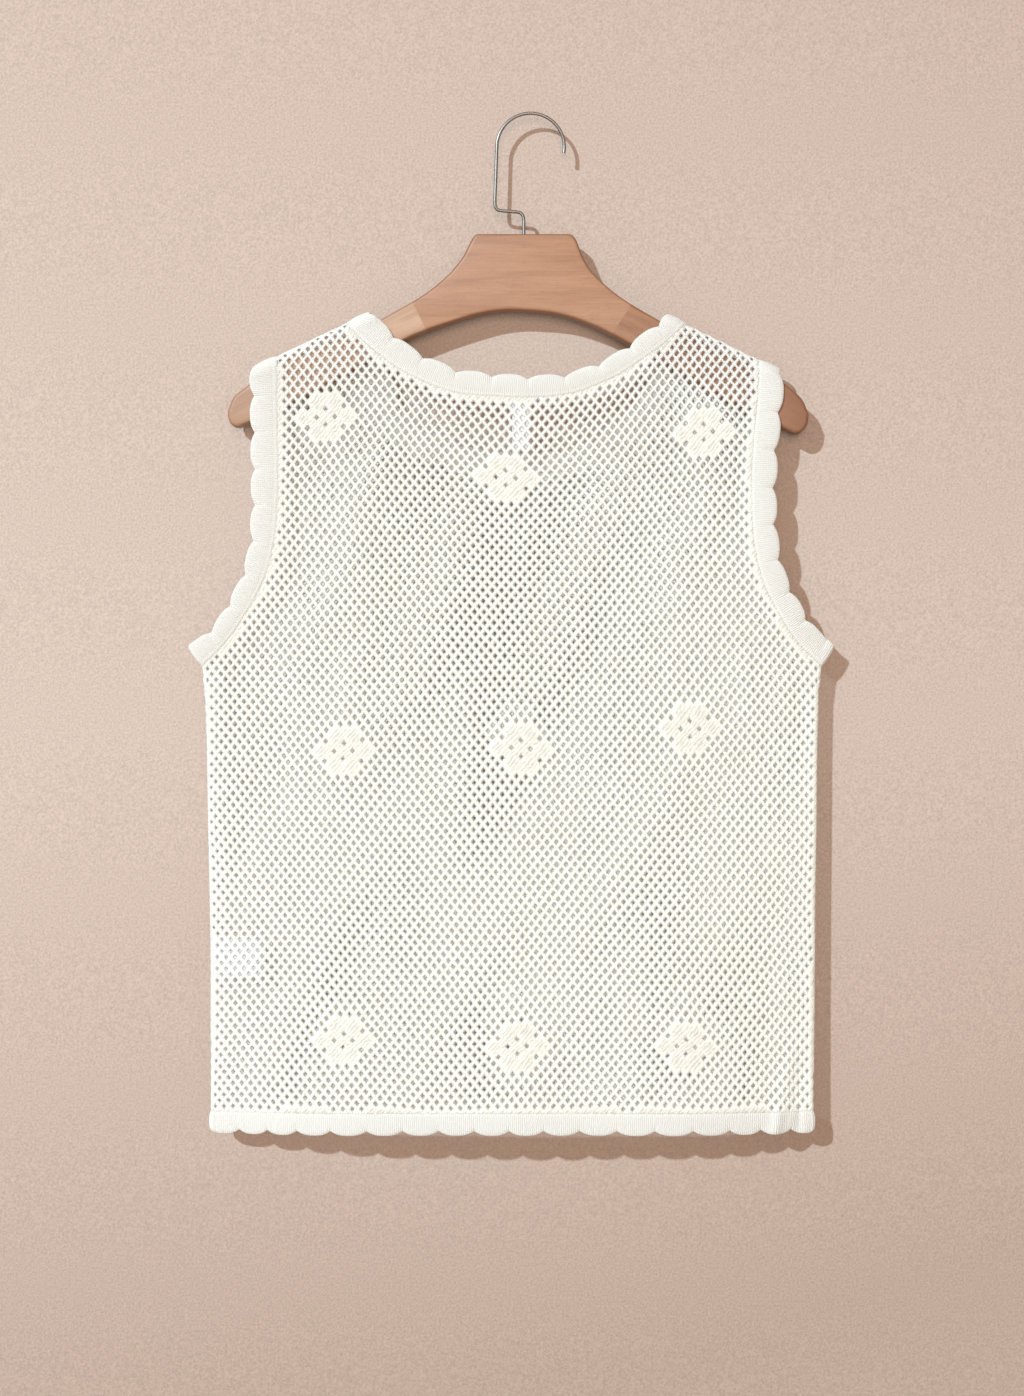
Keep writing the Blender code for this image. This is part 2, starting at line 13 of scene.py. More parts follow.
import bpy
import numpy as np
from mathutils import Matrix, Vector

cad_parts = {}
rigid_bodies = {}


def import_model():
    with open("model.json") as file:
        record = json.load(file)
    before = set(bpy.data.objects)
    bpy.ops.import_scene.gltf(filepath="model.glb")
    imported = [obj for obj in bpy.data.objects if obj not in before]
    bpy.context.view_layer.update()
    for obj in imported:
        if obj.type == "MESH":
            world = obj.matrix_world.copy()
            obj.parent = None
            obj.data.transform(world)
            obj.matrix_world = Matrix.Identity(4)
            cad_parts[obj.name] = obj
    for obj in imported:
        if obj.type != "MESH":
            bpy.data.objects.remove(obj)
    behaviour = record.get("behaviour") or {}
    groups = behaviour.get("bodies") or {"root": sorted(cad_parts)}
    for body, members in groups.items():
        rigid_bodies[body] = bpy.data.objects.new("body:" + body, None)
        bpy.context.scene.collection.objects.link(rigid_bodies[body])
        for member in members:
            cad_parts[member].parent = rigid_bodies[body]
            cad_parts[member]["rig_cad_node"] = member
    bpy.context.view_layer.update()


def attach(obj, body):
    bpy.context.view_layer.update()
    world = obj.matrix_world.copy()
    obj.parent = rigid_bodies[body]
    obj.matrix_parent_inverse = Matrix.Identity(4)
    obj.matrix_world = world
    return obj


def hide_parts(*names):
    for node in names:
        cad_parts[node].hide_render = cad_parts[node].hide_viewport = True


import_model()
BACK, FRONT = -1, 1

# %% [markdown]
# ## The form that the cloth follows
# A hung top is close to a flattened tube that folds over the hanger's arms. All its cloth can
# be laid out flat, with x across and h up, and bent into space by one function. It could be
# simulated instead, but a net of thousands of holes keeps its knitted order only when each
# stitch knows its flat place. The numbers are those of the solids.

# %% Sizes of the form
FOLD_DEPTH, FOLD_RISE = 0.0079, 0.0087  # the fold over the hanger's arms
FOLD_RUN = 0.25 * math.pi * (FOLD_DEPTH + FOLD_RISE)
NECK_LEFT, NECK_RIGHT = -0.1331, 0.1137  # where the neck meets the shoulder ridge
RIDGE_LEFT, RIDGE_RIGHT = -0.1515, -0.1528  # the ridge's height there, and its slope outwards
SLOPE_LEFT, SLOPE_RIGHT = 0.472, 0.490
SIDE_ROUND = 0.003  # the fold at the sides
SIDE_FLAT = 0.5 * math.pi * SIDE_ROUND
SIDE_RUN, SIDE_OPENING = 0.16, 2.2  # the cloth opens to its full depth over this run
ARMHOLE_SPREAD = 1.2
TIP, UNDERARM, HEM_SIDE = -0.383, -0.400, -0.7245
SIDES = np.array(  # height, left edge, right edge
    [
        (HEM_SIDE, -0.2321, 0.2054),
        (-0.600, -0.2323, 0.2064),
        (-0.455, -0.2351, 0.2083),
        (-0.420, -0.2366, 0.2092),
        (UNDERARM, -0.2383, 0.2112),
        (TIP, -0.2508, 0.2214),
    ]
)
SWELL, SWELL_EASE = {BACK: 0.031, FRONT: 0.009}, 0.05
DRAPES = {  # soft folds: place across, half width, depth at the hem
    BACK: ((-0.150, 0.050, 0.0026), (-0.020, 0.055, 0.0020), (0.115, 0.050, 0.0028)),
    FRONT: ((-0.100, 0.050, 0.0024), (0.050, 0.060, 0.0026)),
}
DRAPE_LENGTH = 0.57
CREASES = {  # foot x, foot h, top x, top h, half width, depth: small folds, listed one by one
    BACK: (
        (0.176, -0.735, 0.186, -0.690, 0.0045, 0.0022),
        (0.193, -0.735, 0.197, -0.700, 0.0040, -0.0016),
        (-0.120, -0.330, -0.165, -0.262, 0.0160, 0.0010),
        (0.098, -0.335, 0.142, -0.262, 0.0160, 0.0010),
        (-0.205, -0.470, -0.120, -0.560, 0.0220, -0.0012),
        (0.186, -0.455, 0.100, -0.545, 0.0220, -0.0012),
        (-0.060, -0.300, -0.100, -0.205, 0.0140, 0.0009),
        (0.045, -0.300, 0.082, -0.200, 0.0140, 0.0009),
    ),
    FRONT: (
        (-0.080, -0.340, -0.120, -0.240, 0.0160, 0.0010),
        (0.060, -0.340, 0.098, -0.240, 0.0160, 0.0010),
    ),
}
CREASE_END, CREASE_EDGE = 0.35, 0.01  # they fade past their ends, and this near to a side


# %% Bend a flat place into space
def ease(share):
    share = np.clip(share, 0.0, 1.0)
    return share * share * (3 - 2 * share)


def edges(height):
    """The left and right edges of the form. Above the underarm tips it spreads out."""
    spread = ARMHOLE_SPREAD * np.maximum(0.0, height - TIP)
    left = np.interp(height, SIDES[:, 0], SIDES[:, 1])
    right = np.interp(height, SIDES[:, 0], SIDES[:, 2])
    return left - spread, right + spread


def ridge(x):
    """The height of the shoulder ridge, and which way it falls."""
    left = x < 0.5 * (NECK_LEFT + NECK_RIGHT)
    height = np.where(
        left, RIDGE_LEFT + SLOPE_LEFT * (x - NECK_LEFT), RIDGE_RIGHT - SLOPE_RIGHT * (x - NECK_RIGHT)
    )
    return height, np.where(left, SLOPE_LEFT, -SLOPE_RIGHT)


def crease(side, x, h):
    """How far the small folds lift the cloth."""
    lift = np.zeros(np.shape(x))
    for x0, h0, x1, h1, half_width, deep in CREASES[side]:
        run = math.hypot(x1 - x0, h1 - h0)
        along = ((x - x0) * (x1 - x0) + (h - h0) * (h1 - h0)) / run
        across = ((x - x0) * (h1 - h0) - (h - h0) * (x1 - x0)) / run
        over = np.maximum(0.0, np.maximum(-along, along - run)) / (CREASE_END * run)
        lift = lift + deep * np.exp(-((across / half_width) ** 2) - over**2)
    return lift


def depth(side, x, h, height, from_edge):
    """How far the cloth stands out from the middle of the form."""
    drop = np.maximum(0.0, ridge(x)[0] - FOLD_RISE - height)
    full = FOLD_DEPTH + SWELL[side] * drop * drop / (drop + SWELL_EASE)
    for middle, half_width, swell in DRAPES[side]:
        full = full + swell * np.exp(-(((x - middle) / half_width) ** 2)) * ease(drop / DRAPE_LENGTH)
    opening = 1 - (1 - np.minimum(1.0, from_edge / SIDE_RUN)) ** SIDE_OPENING
    return SIDE_ROUND + (full - SIDE_ROUND) * opening + crease(side, x, h) * ease(from_edge / CREASE_EDGE)


def form(side, x, h):
    """Points in space of flat places (x, h) on one side of the form."""
    x, h = np.asarray(x, float), np.asarray(h, float)
    spring = ridge(x)[0] - FOLD_RISE
    turn = np.maximum(0.0, h - spring) / FOLD_RUN * 0.5 * math.pi
    height = np.minimum(h, spring) + FOLD_RISE * np.sin(turn)
    left, right = edges(height)
    middle, half = 0.5 * (left + right), 0.5 * (right - left)
    from_edge = half + SIDE_FLAT - SIDE_ROUND - np.abs(x - middle)
    angle = from_edge / SIDE_ROUND
    folded = middle + np.sign(x - middle) * (half - SIDE_ROUND * (1 - np.cos(angle)))
    on_fold = from_edge < SIDE_FLAT
    out = depth(side, x, h, height, np.maximum(0.0, from_edge - SIDE_FLAT)) * np.cos(turn)
    out = np.where(on_fold, SIDE_ROUND * np.sin(angle), out)
    return np.stack([np.where(on_fold, folded, x), side * out, height], axis=-1)


def outward(side, x, h, reach=0.0002):
    """The directions out of the form."""
    across = form(side, x + reach, h) - form(side, x - reach, h)
    up = form(side, x, h + reach) - form(side, x, h - reach)
    normal = np.cross(across, up) * -side
    return normal / np.linalg.norm(normal, axis=-1, keepdims=True)


print("depth of the back at the hem:", round(float(-form(BACK, 0.0, HEM_SIDE)[1]), 4))

# %% [markdown]
# ## Seams
# The pieces meet along the armholes, the necklines, the side seams and the hem. Each seam is
# a smooth curve through a few flat points, so the panels and the trims that are sewn to them
# can share it.

# %% Seam lines
ARMHOLE = (  # left seam, right seam, height
    (-0.1846, 0.1652, -0.208),
    (-0.1840, 0.1617, -0.245),
    (-0.1841, 0.1607, -0.281),
    (-0.1868, 0.1627, -0.313),
    (-0.1940, 0.1687, -0.3384),
    (-0.2056, 0.1792, -0.3600),
    (-0.2208, 0.1937, -0.3817),
)
ARMHOLE_TOP = {-1: -0.1856, 1: 0.1668}
NECKLINE = {
    BACK: (
        (-0.1227, -0.1621),
        (-0.0929, -0.1853),
        (-0.0606, -0.1998),
        (-0.0382, -0.2035),
        (-0.0018, -0.2052),
        (0.0283, -0.2027),
        (0.0469, -0.1962),
        (0.0661, -0.1871),
        (0.0975, -0.1649),
    ),
    FRONT: (
        (-0.1215, -0.1800),
        (-0.1048, -0.2250),
        (-0.0568, -0.2530),
        (-0.0048, -0.2585),
        (0.0452, -0.2500),
        (0.0877, -0.2140),
        (0.1060, -0.1730),
    ),
}
HEM_LIFT = 0.0035
SEAM_STEP = 0.0006


def smooth(points, step=SEAM_STEP):
    """A Catmull-Rom curve through points, in steps of about one length."""
    points = np.asarray(points, float)
    ends = np.vstack([2 * points[0] - points[1], points, 2 * points[-1] - points[-2]])
    line = []
    for a, b, c, d in zip(ends, ends[1:], ends[2:], ends[3:]):
        count = max(2, round(float(np.linalg.norm(c - b)) / step))
        t = (np.arange(count) / count)[:, None]
        bend = (2 * a - 5 * b + 4 * c - d) * t**2 + (3 * b - a - 3 * c + d) * t**3
        line.append(0.5 * (2 * b + (c - a) * t + bend))
    return np.vstack([*line, points[-1:]])


def along(line):
    """The distance of each point from the line's start."""
    return np.concatenate([[0.0], np.cumsum(np.linalg.norm(np.diff(line, axis=0), axis=1))])


def flat_ridge(x):
    """The height of the ridge as it lies flat, with the run of the fold."""
    return ridge(x)[0] - FOLD_RISE + FOLD_RUN


def flatten(x, height):
    """The flat place of a point seen at a height: the run up the fold counts in full."""
    spring = float(ridge(np.float64(x))[0]) - FOLD_RISE
    rise = min(1.0, max(0.0, (height - spring) / FOLD_RISE))
    return x, min(height, spring) + FOLD_RUN * math.asin(rise) / (0.5 * math.pi)


def flat_edges(height):
    """The two edges of a panel as it lies flat: they run on round the side folds."""
    left, right = edges(np.minimum(height, UNDERARM))
    return left - (SIDE_FLAT - SIDE_ROUND), right + (SIDE_FLAT - SIDE_ROUND)


def hem(x):
    """The flat hem, which lies a little higher in the middle."""
    left, right = flat_edges(HEM_SIDE)
    return HEM_SIDE + HEM_LIFT * (1 - ((2 * x - left - right) / (right - left)) ** 2)


def armhole_seam(hand):
    """From the underarm up to the ridge."""
    column = 0 if hand < 0 else 1
    top = ARMHOLE_TOP[hand]
    foot = float(flat_edges(UNDERARM)[column])
    rows = [flatten(row[column], row[2]) for row in reversed(ARMHOLE)]
    return smooth([(foot, UNDERARM), *rows, (top, float(flat_ridge(np.float64(top))))])


def neck_seam(side):
    """From the left end of the ridge to the right end."""
    first, last = ((x, float(flat_ridge(np.float64(x)))) for x in (NECK_LEFT, NECK_RIGHT))
    return smooth([first, *(flatten(*row) for row in NECKLINE[side]), last])


for hand in (-1, 1):
    print("armhole seam", hand, "length:", round(float(along(armhole_seam(hand))[-1]), 4))

# %% [markdown]
# ## Yarn, and what shows on it
# Cotton yarn is matt and slightly fuzzy, and its tone changes a little from place to place.
# Where the knitting is dense, fine lines of stitches cross it. Both could be painted on, but
# an image would blur close up. A shader group makes them from each point's flat place, which
# the pieces carry as an attribute, so the lines follow the cloth round its folds.

# %% Helpers for shader nodes
LIBRARY = {}


def new_group(name, inputs, outputs):
    """A shader group, with its given and its outgoing sockets."""
    group = bpy.data.node_groups.new(name, "ShaderNodeTree")
    for socket, kind, value in inputs:
        made = group.interface.new_socket(socket, in_out="INPUT", socket_type=kind)
        if value is not None:
            made.default_value = value
    for socket, kind in outputs:
        group.interface.new_socket(socket, in_out="OUTPUT", socket_type=kind)
    return group, group.nodes.new("NodeGroupInput"), group.nodes.new("NodeGroupOutput")


def node(tree, kind, links=(), **settings):
    """A node with its inputs linked or set, and its settings made."""
    made = tree.nodes.new(kind)
    for key, value in settings.items():
        setattr(made, key, value)
    for socket, value in dict(links).items():
        if isinstance(value, bpy.types.NodeSocket):
            tree.links.new(value, made.inputs[socket])
        else:
            made.inputs[socket].default_value = value
    return made


def math_node(tree, operation, a, b=0.0, c=0.0):
    return node(tree, "ShaderNodeMath", {0: a, 1: b, 2: c}, operation=operation).outputs[0]


def wave(tree, turns):
    """A smooth wave between 0 and 1, once for each whole turn."""
    swing = math_node(tree, "SINE", math_node(tree, "MULTIPLY", turns, 2 * math.pi))
    return math_node(tree, "MULTIPLY_ADD", swing, 0.5, 0.5)


def noise(tree, place, scale, detail=2.0, distortion=0.0):
    """Soft blotches between 0 and 1."""
    inputs = {"Vector": place, "Scale": scale, "Detail": detail, "Distortion": distortion}
    return node(tree, "ShaderNodeTexNoise", inputs).outputs[0]


def ramp(tree, value, start, end, at_start=0.0, at_end=1.0):
    """A value carried from one range over to another, and held at its ends."""
    inputs = {0: value, 1: start, 2: end, 3: at_start, 4: at_end}
    return node(tree, "ShaderNodeMapRange", inputs).outputs[0]


def between(tree, share, first, second):
    """A number between two others. A share of 0 gives the first."""
    return node(tree, "ShaderNodeMix", {0: share, 2: first, 3: second}, data_type="FLOAT").outputs[0]


def mixed(tree, share, first, second):
    """A colour between two others. A share of 0 gives the first."""
    return node(tree, "ShaderNodeMix", {0: share, 6: first, 7: second}, data_type="RGBA").outputs[2]


def new_finish(name):
    """A new material, with its nodes and its main shader."""
    made = bpy.data.materials.new(name)
    made.use_nodes = True
    return made, made.node_tree, made.node_tree.nodes["Principled BSDF"]


# %% A group for the ribs of the trims


def rib_group():
    """Ribs across a trim. Place is in millimetres: X along the seam and Y away from it."""
    group, given, out = new_group(
        "rib knit",
        [("Place", "NodeSocketVector", None), ("Pitch", "NodeSocketFloat", 1.45)],
        [("Height", "NodeSocketFloat"), ("Fuzz", "NodeSocketFloat")],
    )
    place = given.outputs["Place"]
    along_seam, from_seam, _ = node(group, "ShaderNodeSeparateXYZ", {0: place}).outputs
    shift = math_node(group, "MULTIPLY", noise(group, place, scale=0.30, detail=1.0), 0.9)
    turns = math_node(group, "DIVIDE", along_seam, given.outputs["Pitch"])
    rib = wave(group, math_node(group, "ADD", turns, shift))
    loops = wave(group, math_node(group, "MULTIPLY_ADD", from_seam, 0.70, shift))
    rib = math_node(group, "MULTIPLY", rib, math_node(group, "MULTIPLY_ADD", loops, 0.35, 0.65))
    chain = ramp(group, math_node(group, "ABSOLUTE", from_seam), 1.3, 0.5)
    links = wave(group, math_node(group, "MULTIPLY", along_seam, 0.52))
    stitch = math_node(group, "MULTIPLY", chain, math_node(group, "MULTIPLY_ADD", links, 0.8, 0.2))
    group.links.new(math_node(group, "MAXIMUM", rib, stitch), out.inputs["Height"])
    group.links.new(noise(group, place, scale=2.2, detail=3.0), out.inputs["Fuzz"])
    return group


LIBRARY["rib knit"] = rib_group()

# %% [markdown]
# In the net, every point also knows its stitch: two numbers that count the strands crossed in
# each slanting direction. A strand lies half way between whole numbers. Twisted plies run along
# it, a small dimple marks each crossing, and closed stitches get a fine slanting hatch.

# %% A group for the yarn of the net
PLIES, PLY_SLANT = 3.0, 2.4  # waves across a strand, and how far they slant along it
DIMPLE, HATCH = 0.85, 2.0  # depth at a crossing, and lines across a closed stitch


def net_yarn_group():
    """Stitch is in strands: X and Y count them both ways, and Z is 1 where it is closed."""
    group, given, out = new_group(
        "net yarn",
        [("Stitch", "NodeSocketVector", None)],
        [("Height", "NodeSocketFloat"), ("Fuzz", "NodeSocketFloat"), ("Closed", "NodeSocketFloat")],
    )
    stitch = given.outputs["Stitch"]
    u, v, closed = node(group, "ShaderNodeSeparateXYZ", {0: stitch}).outputs
    shift = noise(group, stitch, scale=1.3, detail=1.0)
    off_u = math_node(group, "SUBTRACT", math_node(group, "FRACT", u), 0.5)
    off_v = math_node(group, "SUBTRACT", math_node(group, "FRACT", v), 0.5)
    slant_v = math_node(group, "MULTIPLY_ADD", off_u, PLY_SLANT, shift)
    slant_u = math_node(group, "MULTIPLY_ADD", off_v, -PLY_SLANT, shift)
    ply_v = wave(group, math_node(group, "MULTIPLY_ADD", v, PLIES, slant_v))
    ply_u = wave(group, math_node(group, "MULTIPLY_ADD", u, PLIES, slant_u))
    far_u, far_v = math_node(group, "ABSOLUTE", off_u), math_node(group, "ABSOLUTE", off_v)
    nearer = ramp(group, math_node(group, "SUBTRACT", far_v, far_u), -0.06, 0.06)
    near_crossing = ramp(group, math_node(group, "MAXIMUM", far_u, far_v), 0.15, 0.05)
    plies = between(group, nearer, ply_u, ply_v)
    strand = math_node(group, "MULTIPLY_ADD", near_crossing, -DIMPLE, plies)
    hatch_shift = math_node(group, "MULTIPLY", shift, 1.2)
    hatch = wave(group, math_node(group, "MULTIPLY_ADD", v, HATCH, hatch_shift))
    group.links.new(between(group, closed, strand, hatch), out.inputs["Height"])
    group.links.new(noise(group, stitch, scale=11.0, detail=3.0), out.inputs["Fuzz"])
    group.links.new(closed, out.inputs["Closed"])
    return group


LIBRARY["net yarn"] = net_yarn_group()


# %% Yarn materials
def yarn_material(
    name, group, attribute, light, shade, line_height, fuzz_height, soak, dense=None, passing=0.0
):
    """Matt yarn. Light soaks into it and comes out again a millimetre or two on.

    Dense is the tone of closed stitches, where each lies half in the shade of the next.
    Passing is the share of light that thin yarn lets through, so its shadow is a soft one.
    """
    made, tree, shader = new_finish(name)
    place = node(tree, "ShaderNodeAttribute", attribute_name=attribute)
    lines = node(tree, "ShaderNodeGroup", node_tree=LIBRARY[group])
    tree.links.new(place.outputs["Vector"], lines.inputs[0])
    height, fuzz = lines.outputs["Height"], lines.outputs["Fuzz"]
    tone = math_node(tree, "MULTIPLY_ADD", fuzz, 0.50, math_node(tree, "MULTIPLY", height, 0.75))
    colour = mixed(tree, tone, (*shade, 1), (*light, 1))
    if dense:
        closed = math_node(tree, "MULTIPLY_ADD", height, -0.50, lines.outputs["Closed"])
        colour = mixed(tree, closed, colour, (*dense, 1))
    tree.links.new(colour, shader.inputs["Base Color"])
    first = node(tree, "ShaderNodeBump", {"Height": height, "Distance": line_height})
    second = node(
        tree, "ShaderNodeBump", {"Height": fuzz, "Distance": fuzz_height, "Normal": first.outputs[0]}
    )
    tree.links.new(second.outputs[0], shader.inputs["Normal"])
    shader.inputs["Roughness"].default_value = 0.92
    shader.inputs["Specular IOR Level"].default_value = 0.2
    shader.inputs["Subsurface Weight"].default_value = 1.0
    shader.inputs["Subsurface Radius"].default_value = (1.0, 1.0, 1.0)
    shader.inputs["Subsurface Scale"].default_value = soak
    if passing:
        path = node(tree, "ShaderNodeLightPath")
        stops = math_node(tree, "MULTIPLY_ADD", path.outputs["Is Shadow Ray"], -passing, 1.0)
        tree.links.new(stops, shader.inputs["Alpha"])
    return made


NET = yarn_material(
    "ivory net knit",
    group="net yarn",
    attribute="stitch",
    light=(0.925, 0.885, 0.790),
    shade=(0.865, 0.805, 0.670),
    line_height=0.00026,
    fuzz_height=0.00014,
    soak=0.0026,
    dense=(0.490, 0.475, 0.435),
    passing=0.60,
)
TRIM = yarn_material(
    "ivory scalloped knit",
    group="rib knit",
    attribute="knit_mm",
    light=(0.726, 0.706, 0.662),
    shade=(0.586, 0.571, 0.528),
    line_height=0.00045,
    fuzz_height=0.00016,
    soak=0.0014,
)
print("materials:", NET.name, "and", TRIM.name)


# %% Make a mesh from points and faces
def new_piece(name, points, faces, finish, attribute, places):
    """A smooth mesh object at the origin that rides with the part."""
    mesh = bpy.data.meshes.new(name)
    mesh.from_pydata(np.asarray(points).tolist(), [], faces)
    kept = mesh.attributes.new(attribute, "FLOAT_VECTOR", "POINT")
    kept.data.foreach_set("vector", np.asarray(places, np.float32).ravel())
    mesh.shade_smooth()
    mesh.materials.append(finish)
    piece = bpy.data.objects.new(name, mesh)
    bpy.context.scene.collection.objects.link(piece)
    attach(piece, "root")
    return piece


def triangles(piece):
    """How many triangles a mesh comes to."""
    return sum(len(face.vertices) - 2 for face in piece.data.polygons)


def volume(piece):
    """The signed volume in cubic centimetres. It is negative where faces point inwards."""
    mesh = piece.data
    mesh.calc_loop_triangles()
    places = np.empty(3 * len(mesh.vertices))
    mesh.vertices.foreach_get("co", places)
    corners = np.empty(3 * len(mesh.loop_triangles), np.int32)
    mesh.loop_triangles.foreach_get("vertices", corners)
    a, b, c = places.reshape(-1, 3)[corners.reshape(-1, 3)].transpose(1, 0, 2)
    return round(float((a * np.cross(b, c)).sum()) / 6 * 1e6, 2)


# %% [markdown]
# ## The net
# The holes stand in staggered rows: a row of round ones, then a row of narrow slits that lean.
# Each hole sits in its own diamond of cloth, and the diamonds fill the panel, so the yarn
# between the holes runs along their edges. A picture of a net on a plain sheet would look flat
# and show nothing behind it. Here each diamond is real cloth with a front, a back and a soft
# rim round its hole, and the lower front neckline shows through.

# %% Where the stitches lie
PITCH, ROW = 0.00668, 0.00416  # between holes in a row, and between rows
NET_FOOT = -0.7190  # the lowest row
NET_MIDDLE = -0.0135
FLOWERS = {  # across, height
    BACK: (
        *((-0.1470, -0.2215), (-0.0185, -0.2552), (0.1185, -0.2310)),
        *((-0.1363, -0.4620), (-0.0115, -0.4607), (0.1135, -0.4465)),
        *((-0.1327, -0.6690), (-0.0150, -0.6712), (0.1100, -0.6719)),
    ),
    FRONT: (
        *((-0.1480, -0.2300), (0.1185, -0.2300)),
        *((-0.1363, -0.4500), (-0.0115, -0.4500), (0.1135, -0.4500)),
        *((-0.1327, -0.6600), (-0.0150, -0.6600), (0.1100, -0.6600)),
    ),
}
SAG = {BACK: 0.0090, FRONT: 0.0060}  # how far the rows hang down below the neckline
SAG_WIDE, SAG_FOOT, SAG_RUN = 0.085, -0.40, 0.20  # half width, where it sets in, and its run up
SAG_SPREAD = 0.08  # the stitches stand wider there
ROW_WAVES = ((0.0011, 31, 9, 0), (0.0008, 67, -23, 1))  # how far, turns across and up, panel
COLUMN_WAVES = ((0.0009, 6, 27, 0), (0.0006, -19, 61, 0))
FLOWER_REACH, SQUEEZE = 0.018, 0.20
LOW_FLOWERS, LOW_SQUEEZE = -0.6, 0.32  # the flowers below this height draw in more


def wander(side, x, h, waves):
    """A slow drift of the knit, as a sum of waves."""
    return sum(far * np.sin(x * across + h * up + own * side) for far, across, up, own in waves)


def settle(side, x, h):
    """The knit gives under its own weight: rows sag at the neck, and draw in at the flowers."""
    near_neck = np.exp(-(((x - NET_MIDDLE) / SAG_WIDE) ** 2)) * ease((h - SAG_FOOT) / SAG_RUN)
    wide = SAG_SPREAD * (x - NET_MIDDLE) * near_neck
    down = SAG[side] * near_neck
    for flower_x, flower_h in FLOWERS[side]:
        near = np.exp(-((x - flower_x) ** 2 + (h - flower_h) ** 2) / FLOWER_REACH**2)
        squeeze = LOW_SQUEEZE if flower_h < LOW_FLOWERS else SQUEEZE
        down = down + squeeze * (h - flower_h) * near
    return x + wide + wander(side, x, h, COLUMN_WAVES), h - down + wander(side, x, h, ROW_WAVES)


# %% [markdown]
# A flower is a knitter's chart: rows of stitches that are worked closed, with four small eyes
# at its heart. `#` is a closed stitch, `o` an eye, and `.` the open net.

# %% The flower's chart
CHART = (  # rows from the top, half a pitch for each sign
    ".....#.#.#.....",
    "....#.#.#.#....",
    ".....#.#.#.....",
    "..#.#.#.#.#.#..",
    ".#.#.o.#.o.#.#.",
    "..#.#.#.#.#.#..",
    ".....#.#.#.....",
    "....#.#.#.#....",
    ".....#.#.#.....",
)
EYES_ABOVE = 2  # the upper and lower eyes are in these rows from the middle
EYES = {"eye": 0.0, "upper eye": -0.0028, "lower eye": 0.0028}  # and drawn in towards it


def flower_cells(side):
    """For each lattice place in a flower, whether it is closed or an eye."""
    found = {}
    for x, h in FLOWERS[side]:
        p, q = round((x - NET_MIDDLE) / (0.5 * PITCH)), round((h - NET_FOOT) / ROW)
        p += (p + q) % 2
        for row, signs in enumerate(CHART):
            for column, sign in enumerate(signs):
                place = (p + column - len(signs) // 2, q + len(CHART) // 2 - row)
                if sign == "#":
                    found[place] = "closed"
                if sign == "o":
                    found[place] = "eye"
        for step in (-EYES_ABOVE, EYES_ABOVE):
            found[p, q + step] = "upper eye" if step > 0 else "lower eye"
    return found


print("stitches in the back's flowers:", len(flower_cells(BACK)))


# %% The panel's edge
HEM_POINTS, SIDE_POINTS, EVERY = 240, 120, 3  # points along them, and of a seam every third


def panel_edge(side):
    """The outline of a panel as named stretches of flat points, from the hem's left end."""
    left, right = flat_edges(HEM_SIDE)
    x = np.linspace(left, right, HEM_POINTS)
    heights = np.linspace(HEM_SIDE, UNDERARM, SIDE_POINTS)
    left_side, right_side = flat_edges(heights)
    neck = neck_seam(side)
    left_arm, right_arm = armhole_seam(-1), armhole_seam(1)
    return {
        "hem": np.stack([x, hem(x)], axis=1),
        "right side": np.stack([right_side, heights], axis=1),
        "right armhole": right_arm[::EVERY],
        "right ridge": np.array([right_arm[-1], neck[-1]]),
        "neck": neck[::-EVERY],
        "left ridge": np.array([neck[0], left_arm[-1]]),
        "left armhole": left_arm[::-EVERY],
        "left side": np.stack([left_side, heights], axis=1)[::-1],
    }


EDGING = {  # closed margin, share of full size of the first holes, run to full size
    "hem": (0.0032, 0.70, 0.006),
    "side": (0.0040, 0.40, 0.016),
    "armhole": (0.0042, 0.45, 0.010),
    "ridge": (0.0050, 0.50, 0.009),
    "neck": (0.0042, 0.50, 0.009),
}


def nearest(points, line):
    """The distance to a line, and the nearest point on it."""
    best = np.full(len(points), np.inf)
    spot = np.array(points, float)
    for a, b in zip(line, line[1:]):
        run = b - a
        share = np.clip(((points - a) @ run) / max(1e-12, run @ run), 0, 1)
        there = a + share[:, None] * run
        far = np.linalg.norm(points - there, axis=1)
        closer = far < best
        best[closer], spot[closer] = far[closer], there[closer]
    return best, spot


def inside(points, ring):
    """Which points lie within a closed outline."""
    found = np.zeros(len(points), bool)
    for a, b in zip(ring, np.roll(ring, -1, axis=0)):
        spans = (a[1] > points[:, 1]) != (b[1] > points[:, 1])
        rise = b[1] - a[1] if abs(b[1] - a[1]) > 1e-12 else 1e-12
        found ^= spans & (points[:, 0] < a[0] + (points[:, 1] - a[1]) / rise * (b[0] - a[0]))
    return found


# %% [markdown]
# Each diamond has four corners, where strands cross, and neighbours share them. A ring of eight
# points lies round the hole, half way through the cloth. Cloth runs from the corners on the
# front to the ring and on to the corners on the back, and smooth shading rounds the edge of
# every hole. A panel has thousands of diamonds, so an open one is kept to 24 small faces.

# %% Knit a panel
CORNERS = ((1, 0), (0, 1), (-1, 0), (0, -1))
MOST_ACROSS, MOST_UP, BELOW = 76, 146, 4  # lattice places that are sure to cover a panel
OPEN = {BACK: 0.91, FRONT: 0.83}  # how far the holes stand open: the back carries more pull
BODY, SHOULDERS = (-0.66, 0.40), (-0.30, 0.08)  # holes grow from this height, over this run
